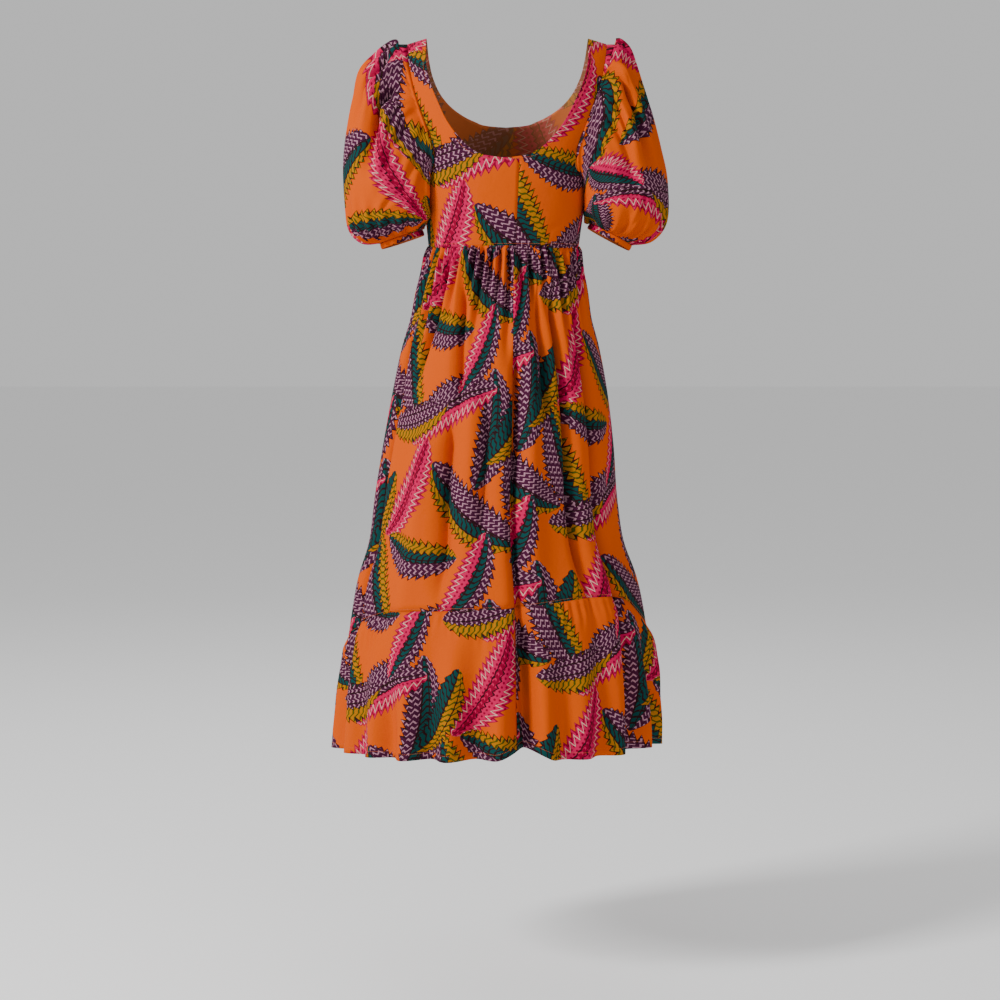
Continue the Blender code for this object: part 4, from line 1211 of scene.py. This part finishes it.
def bodice_piece(name, angle, z, facing, flat_shift):
    """One bodice panel; the front has both halves in one."""
    def points_of(angle, z):
        points = torso_point(angle, z)
        points = points + torso_normal(angle, z) * bodice_height(angle, z)[..., None]
        points[-1, :, 1] = 0
        points[-1, :, 2] = -SHOULDER_SLOPE * (np.abs(points[-1, :, 0]) - SHOULDER_MIDDLE)
        points[..., 1] = facing * np.maximum(facing * points[..., 1], half_gap)
        return points
    columns = angle.shape[1]
    points = points_of(angle, z).reshape(-1, 3)
    normals = torso_normal(angle, z).reshape(-1, 3)
    flat = np.stack([angle * FLAT_RADIUS, z], axis=-1).reshape(-1, 2) + flat_shift
    faces = grid_faces(angle.shape[0], columns, False)
    if facing < 0:
        other = TAU - angle
        count = len(points)
        centre = {count + row * columns: row * columns for row in range(BODICE_ROWS[0] + 1)}
        twin = [tuple(centre.get(i + count, i + count) for i in face[::-1]) for face in faces]
        faces = faces + twin
        points = np.concatenate([points, points_of(other, z).reshape(-1, 3)])
        normals = np.concatenate([normals, torso_normal(other, z).reshape(-1, 3)])
        other_flat = np.stack([other * FLAT_RADIUS, z], axis=-1).reshape(-1, 2) + flat_shift
        flat = np.concatenate([flat, other_flat])
        used = sorted({i for face in faces for i in face})
        place = {old: new for new, old in enumerate(used)}
        faces = [tuple(place[i] for i in face) for face in faces]
        points = points[used]
        normals = normals[used]
        flat = flat[used]
    return shell(name + "_shell", points, flat, faces, None, name, normals)


centre_gap = half_gap / TORSO[-1, 2]
angle, z = bodice_side(NECK_BACK, ARMHOLE_BACK, 1, back_angle + centre_gap)
left_back = bodice_piece("bodice_back_left", angle, z, 1, (0.11, 0.05))
angle, z = bodice_side(NECK_BACK, ARMHOLE_BACK, 1, -back_angle + centre_gap)
right_back = bodice_piece("bodice_back_right", -angle, z, 1, (0.27, 0.21))
angle, z = bodice_side(NECK_FRONT, ARMHOLE_FRONT, -1, math.pi)
front = bodice_piece("bodice_front", angle, z, -1, (0.05, 0.13))


def tier_piece(name, point_of, first, last, columns, rows, flat_width, column, flat_shift):
    """A panel of the skirt or ruffle between two seams."""
    turn = np.linspace(first, last, columns + 1)
    turn[0] += half_gap_turn
    turn[-1] -= half_gap_turn
    fall = np.linspace(0, 1, rows + 1)
    if column == 1:
        fall = SKIRT_EVENNESS * fall + (1 - SKIRT_EVENNESS) * fall**2
    turn_grid, fall_grid = np.meshgrid(turn, fall)
    points = point_of(turn_grid, fall_grid)
    flat = np.stack([turn_grid * flat_width, points[..., 2]], axis=-1).reshape(-1, 2) + flat_shift
    faces = grid_faces(rows + 1, columns + 1, False)
    normals = outward(turn_grid).reshape(-1, 3)
    return shell(name + "_shell", points.reshape(-1, 3), flat, faces, None, name, normals)


# Panels of the skirt and ruffle: name, turn of the first and last seam, place in the print.
panels = (
    ("back_left", BACK_SEAM_TURN, 0.25, (0.02, 0.10)),
    ("front", 0.25, 0.75, (0.13, 0.24)),
    ("back_right", 0.75, 1 + BACK_SEAM_TURN, (0.10, 0.02)),
)
for word, first, last, shift in panels:
    share = last - first
    columns = int(SKIRT_COLUMNS * share)
    name = "skirt_" + word
    piece = tier_piece(name, skirt_point, first, last, columns, SKIRT_ROWS, SKIRT_FLAT, 1, shift)
    columns = int(RUFFLE_COLUMNS * share)
    name = "ruffle_" + word
    shift = np.add(shift, RUFFLE_PRINT_SHIFT)
    piece = tier_piece(name, ruffle_point, first, last, columns, RUFFLE_ROWS, RUFFLE_FLAT, 2, shift)


# Sleeves and their bands.
def tube_piece(name, grid, across_cloth, down_cloth, width, shift, normals):
    """A piece that closes on itself, from its grid and its flat coordinates."""
    flat = np.stack(np.broadcast_arrays(across_cloth, down_cloth), axis=-1).reshape(-1, 2) + shift
    rows, columns = grid.shape[:2]
    faces = grid_faces(rows, columns, True)
    corners = wrap_corner(width, columns)
    return shell(name + "_shell", grid.reshape(-1, 3), flat, faces, corners, name, normals.reshape(-1, 3))


def sleeve_piece(word, side, angles, shift):
    """One puff sleeve; gives back its lower edge."""
    parts = np.linspace(0, 1, SLEEVE_ROWS + 1)
    part = parts[:, None]
    grid = sleeve_form(angles, parts, side)
    normals = outward_tube(grid, grid_normals(grid, True))
    grid = grid + normals * sleeve_height(angles[None, :], part, side)[..., None]
    grid[1:] = clear_of_body(grid[1:])
    normals = outward_tube(grid, grid_normals(grid, True))
    width = side * SLEEVE_FLAT
    across_cloth = angles / TAU * width
    down_cloth = -part * SLEEVE_PRINT_LENGTH
    piece = tube_piece("sleeve_" + word, grid, across_cloth, down_cloth, width, shift, normals)
    return grid[-1]


def band_piece(word, side, angles, edge):
    """The narrow band that holds a sleeve's lower edge."""
    outer_x, outer_z, inner_x, inner_z, _ = (LEFT_RINGS if side > 0 else RIGHT_RINGS)[-1]
    along = np.array([side * (outer_x - inner_x), 0.0, outer_z - inner_z])
    down = np.array([along[2], 0.0, -along[0]]) * side
    down = down / np.linalg.norm(down)
    centre = edge.mean(axis=0)
    ring = edge - centre
    ring = ring - np.outer(ring @ down, down)
    away = ring / np.linalg.norm(ring, axis=1, keepdims=True)
    drops = np.linspace(0, 1, BAND_ROWS + 1)[:, None]
    bulge = BAND_BULGE * np.sqrt(np.clip(1 - (2 * drops - 1)**2, 0, 1))
    below_edge = SEAM_GAP + CLOTH / 2 + drops * CUFF_HEIGHT
    grid = centre + ring + away * bulge[..., None] + down * below_edge[..., None]
    normals = np.broadcast_to(away, grid.shape)
    across_cloth = angles / TAU * BAND_FLAT
    down_cloth = -drops * CUFF_HEIGHT
    piece = tube_piece("cuff_" + word, grid, across_cloth, down_cloth, BAND_FLAT, BAND_PRINT_SHIFT, normals)


ring_angles = np.linspace(0, TAU, SLEEVE_COLUMNS + 1)[:-1]
for word, side, shift in (("left", 1, (0.07, 0.30)), ("right", -1, (0.21, 0.12))):
    band_piece(word, side, ring_angles, sleeve_piece(word, side, ring_angles, shift))

# Rows of stitches.
STITCH_PITCH = 0.0030
STITCH_LENGTH = 0.0022
STITCH_RADIUS = 0.00022
STITCH_SINK = 0.4
NECK_STITCH_INSET = 0.006
WAIST_STITCH_RISE = 0.0032
HEM_STITCH_FALL = 0.955
SEAM_STITCH_FALL = 0.994
FALL_STEP = 0.004
WAIST_LINE_POINTS = 120
TIER_LINE_POINTS = 700


def cloth_line(points, normals):
    """A line of points raised to lie on the cloth's outer face."""
    return points + normals * (CLOTH / 2 + STITCH_RADIUS * STITCH_SINK)


def tier_line(point_of, first, last, fall, count):
    """A line round the skirt or ruffle at a share of its fall."""
    turn = np.linspace(first, last, count)
    falls = (fall - FALL_STEP, fall, fall + FALL_STEP)
    grid = np.array([point_of(turn, at + 0 * turn) for at in falls])
    normals = grid_normals(grid, False)[1]
    normals = normals * np.sign(np.sum(normals * outward(turn), axis=-1, keepdims=True))
    return cloth_line(grid[1], normals)


def bodice_line(angle, z, facing):
    """A line on the bodice's cloth by its angles and heights."""
    normals = torso_normal(angle, z)
    points = torso_point(angle, z) + normals * bodice_height(angle, z)[..., None]
    points[..., 1] = facing * np.maximum(facing * points[..., 1], half_gap)
    return cloth_line(points, normals)


def inside_edge(angle, z, distance):
    """Angles and heights of a line at a distance inside the first column of a bodice grid."""
    points = torso_point(angle, z)
    steps = np.linalg.norm(np.diff(points, axis=1), axis=-1)
    run = np.concatenate([np.zeros((len(points), 1)), np.cumsum(steps, axis=1)], axis=1)
    rows = range(len(points))
    return (np.array([np.interp(distance, run[row], angle[row]) for row in rows]),
            np.array([np.interp(distance, run[row], z[row]) for row in rows]))


def stitch_group():
    """Geometry nodes that lay a stitch along each step of the lines they are given."""
    group = bpy.data.node_groups.new("stitches", "GeometryNodeTree")
    group.interface.new_socket("Lines", in_out="INPUT", socket_type="NodeSocketGeometry")
    for word, value in (("Pitch", STITCH_PITCH), ("Length", STITCH_LENGTH), ("Radius", STITCH_RADIUS)):
        socket = group.interface.new_socket(word, in_out="INPUT", socket_type="NodeSocketFloat")
        socket.default_value = value
    group.interface.new_socket("Stitches", in_out="OUTPUT", socket_type="NodeSocketGeometry")
    kinds = {
        "given": "NodeGroupInput",
        "curves": "GeometryNodeMeshToCurve",
        "steps": "GeometryNodeResampleCurve",
        "stitch": "GeometryNodeMeshCylinder",
        "tangent": "GeometryNodeInputTangent",
        "turned": "FunctionNodeAlignRotationToVector",
        "laid": "GeometryNodeInstanceOnPoints",
        "real": "GeometryNodeRealizeInstances",
        "finished": "GeometryNodeSetMaterial",
        "made": "NodeGroupOutput",
    }
    nodes = {word: group.nodes.new(kind) for word, kind in kinds.items()}
    nodes["steps"].mode = "LENGTH"
    nodes["stitch"].inputs["Vertices"].default_value = 5
    nodes["turned"].axis = "Z"
    nodes["finished"].inputs["Material"].default_value = THREAD
    links = (
        ("given", "Lines", "curves", 0),
        ("curves", 0, "steps", "Curve"),
        ("given", "Pitch", "steps", "Length"),
        ("given", "Length", "stitch", "Depth"),
        ("given", "Radius", "stitch", "Radius"),
        ("tangent", 0, "turned", "Vector"),
        ("steps", 0, "laid", "Points"),
        ("stitch", 0, "laid", "Instance"),
        ("turned", 0, "laid", "Rotation"),
        ("laid", 0, "real", 0),
        ("real", 0, "finished", 0),
        ("finished", 0, "made", 0),
    )
    for start, output, end, entry in links:
        group.links.new(nodes[start].outputs[output], nodes[end].inputs[entry])
    return group


STITCHES = stitch_group()


def sew(name, lines):
    """One piece of stitches along lines of points."""
    points = np.concatenate(lines)
    starts = np.cumsum([0] + [len(line) for line in lines])
    edges = []
    for start, line in zip(starts, lines):
        edges += [(start + i, start + i + 1) for i in range(len(line) - 1)]
    mesh = bpy.data.meshes.new(name + "_lines")
    mesh.from_pydata(points.tolist(), [[int(a), int(b)] for a, b in edges], [])
    guide = add_object(name + "_guide", mesh)
    modifier = guide.modifiers.new("stitches", "NODES")
    modifier.node_group = STITCHES
    graph = bpy.context.evaluated_depsgraph_get()
    thread = bpy.data.meshes.new_from_object(guide.evaluated_get(graph))
    bpy.data.objects.remove(guide)
    thread.name = name
    piece = add_object(name, thread)
    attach(piece, "root")


neck_lines = []
waist_lines = []
for neck, armhole, facing, centre, mirrored in (
        (NECK_BACK, ARMHOLE_BACK, 1, back_angle + centre_gap, False),
        (NECK_BACK, ARMHOLE_BACK, 1, -back_angle + centre_gap, True),
        (NECK_FRONT, ARMHOLE_FRONT, -1, math.pi, False),
        (NECK_FRONT, ARMHOLE_FRONT, -1, math.pi, True)):
    angle, z = bodice_side(neck, armhole, facing, centre)
    upper = slice(BODICE_ROWS[0], -1)
    upper_angle, upper_z = inside_edge(angle[upper], z[upper], NECK_STITCH_INSET)
    around = np.linspace(angle[0, 0], angle[0, -1], WAIST_LINE_POINTS)
    level_z = np.full(len(around), WAIST_Z + WAIST_STITCH_RISE)
    if mirrored:
        upper_angle = -upper_angle if facing > 0 else TAU - upper_angle
        around = -around if facing > 0 else TAU - around
    neck_lines.append(bodice_line(upper_angle, upper_z, facing))
    waist_lines.append(bodice_line(around, level_z, facing))
sew("neck_stitches", neck_lines)
sew("waist_stitches", waist_lines)
hem_lines = []
seam_lines = []
for _, first, last, _ in panels:
    count = int(TIER_LINE_POINTS * (last - first))
    start = first + half_gap_turn
    end = last - half_gap_turn
    hem_lines.append(tier_line(ruffle_point, start, end, HEM_STITCH_FALL, count))
    seam_lines.append(tier_line(skirt_point, start, end, SEAM_STITCH_FALL, count))
sew("hem_stitches", hem_lines)
sew("ruffle_seam_stitches", seam_lines)

# Floor, camera and lights.
FLOOR_Z = -1.56
FLOOR_HALF = 30
FLOOR_CORNERS = ((-1, -1), (1, -1), (1, 1), (-1, 1))
floor_corners = [(x * FLOOR_HALF, y * FLOOR_HALF, FLOOR_Z) for x, y in FLOOR_CORNERS]
floor_mesh = bpy.data.meshes.new("floor")
floor_mesh.from_pydata(floor_corners, [], [(0, 1, 2, 3)])
floor = add_object("floor", floor_mesh)
floor_mesh.materials.append(plain_material("paper", PAPER_COLOUR, 0.9))

CAMERA_DISTANCE = 4.2
CAMERA_HEIGHT = -0.435
CAMERA_SIDE = 0.012
CAMERA_AIM_DROP = 0.329
METRES_PER_PIXEL = 0.00168
PIXELS_ACROSS = 1000
LIGHT_AIM_Z = -0.6
WORLD_STRENGTH = 0.62
lens = bpy.data.cameras.new("camera")
lens.sensor_width = 36
lens.lens = CAMERA_DISTANCE / METRES_PER_PIXEL * lens.sensor_width / PIXELS_ACROSS
camera = add_object("camera", lens)
camera.location = (CAMERA_SIDE, CAMERA_DISTANCE, CAMERA_HEIGHT)
camera.rotation_euler = (math.pi / 2 - math.atan2(CAMERA_AIM_DROP, CAMERA_DISTANCE), 0, math.pi)
bpy.context.scene.camera = camera

world = bpy.data.worlds.new("studio")
world.use_nodes = True
world.node_tree.nodes["Background"].inputs[0].default_value = (1, 1, 1, 1)
world.node_tree.nodes["Background"].inputs[1].default_value = WORLD_STRENGTH
bpy.context.scene.world = world


def softbox(name, place, size, power):
    """A large soft light that faces the dress."""
    data = bpy.data.lights.new(name, "AREA")
    data.shape = "RECTANGLE"
    data.size, data.size_y = size
    data.energy = power
    light = add_object(name, data)
    light.location = place
    aim = Vector((0.0, 0.0, LIGHT_AIM_Z)) - Vector(place)
    light.rotation_euler = aim.to_track_quat("-Z", "Y").to_euler()


softbox("key", (3.1, 2.2, 1.7), (0.9, 1.2), 235)
softbox("fill", (-2.6, 3.2, 0.4), (1.6, 2.0), 22)
softbox("rim", (0.4, -3.0, 1.8), (2.5, 1.5), 30)
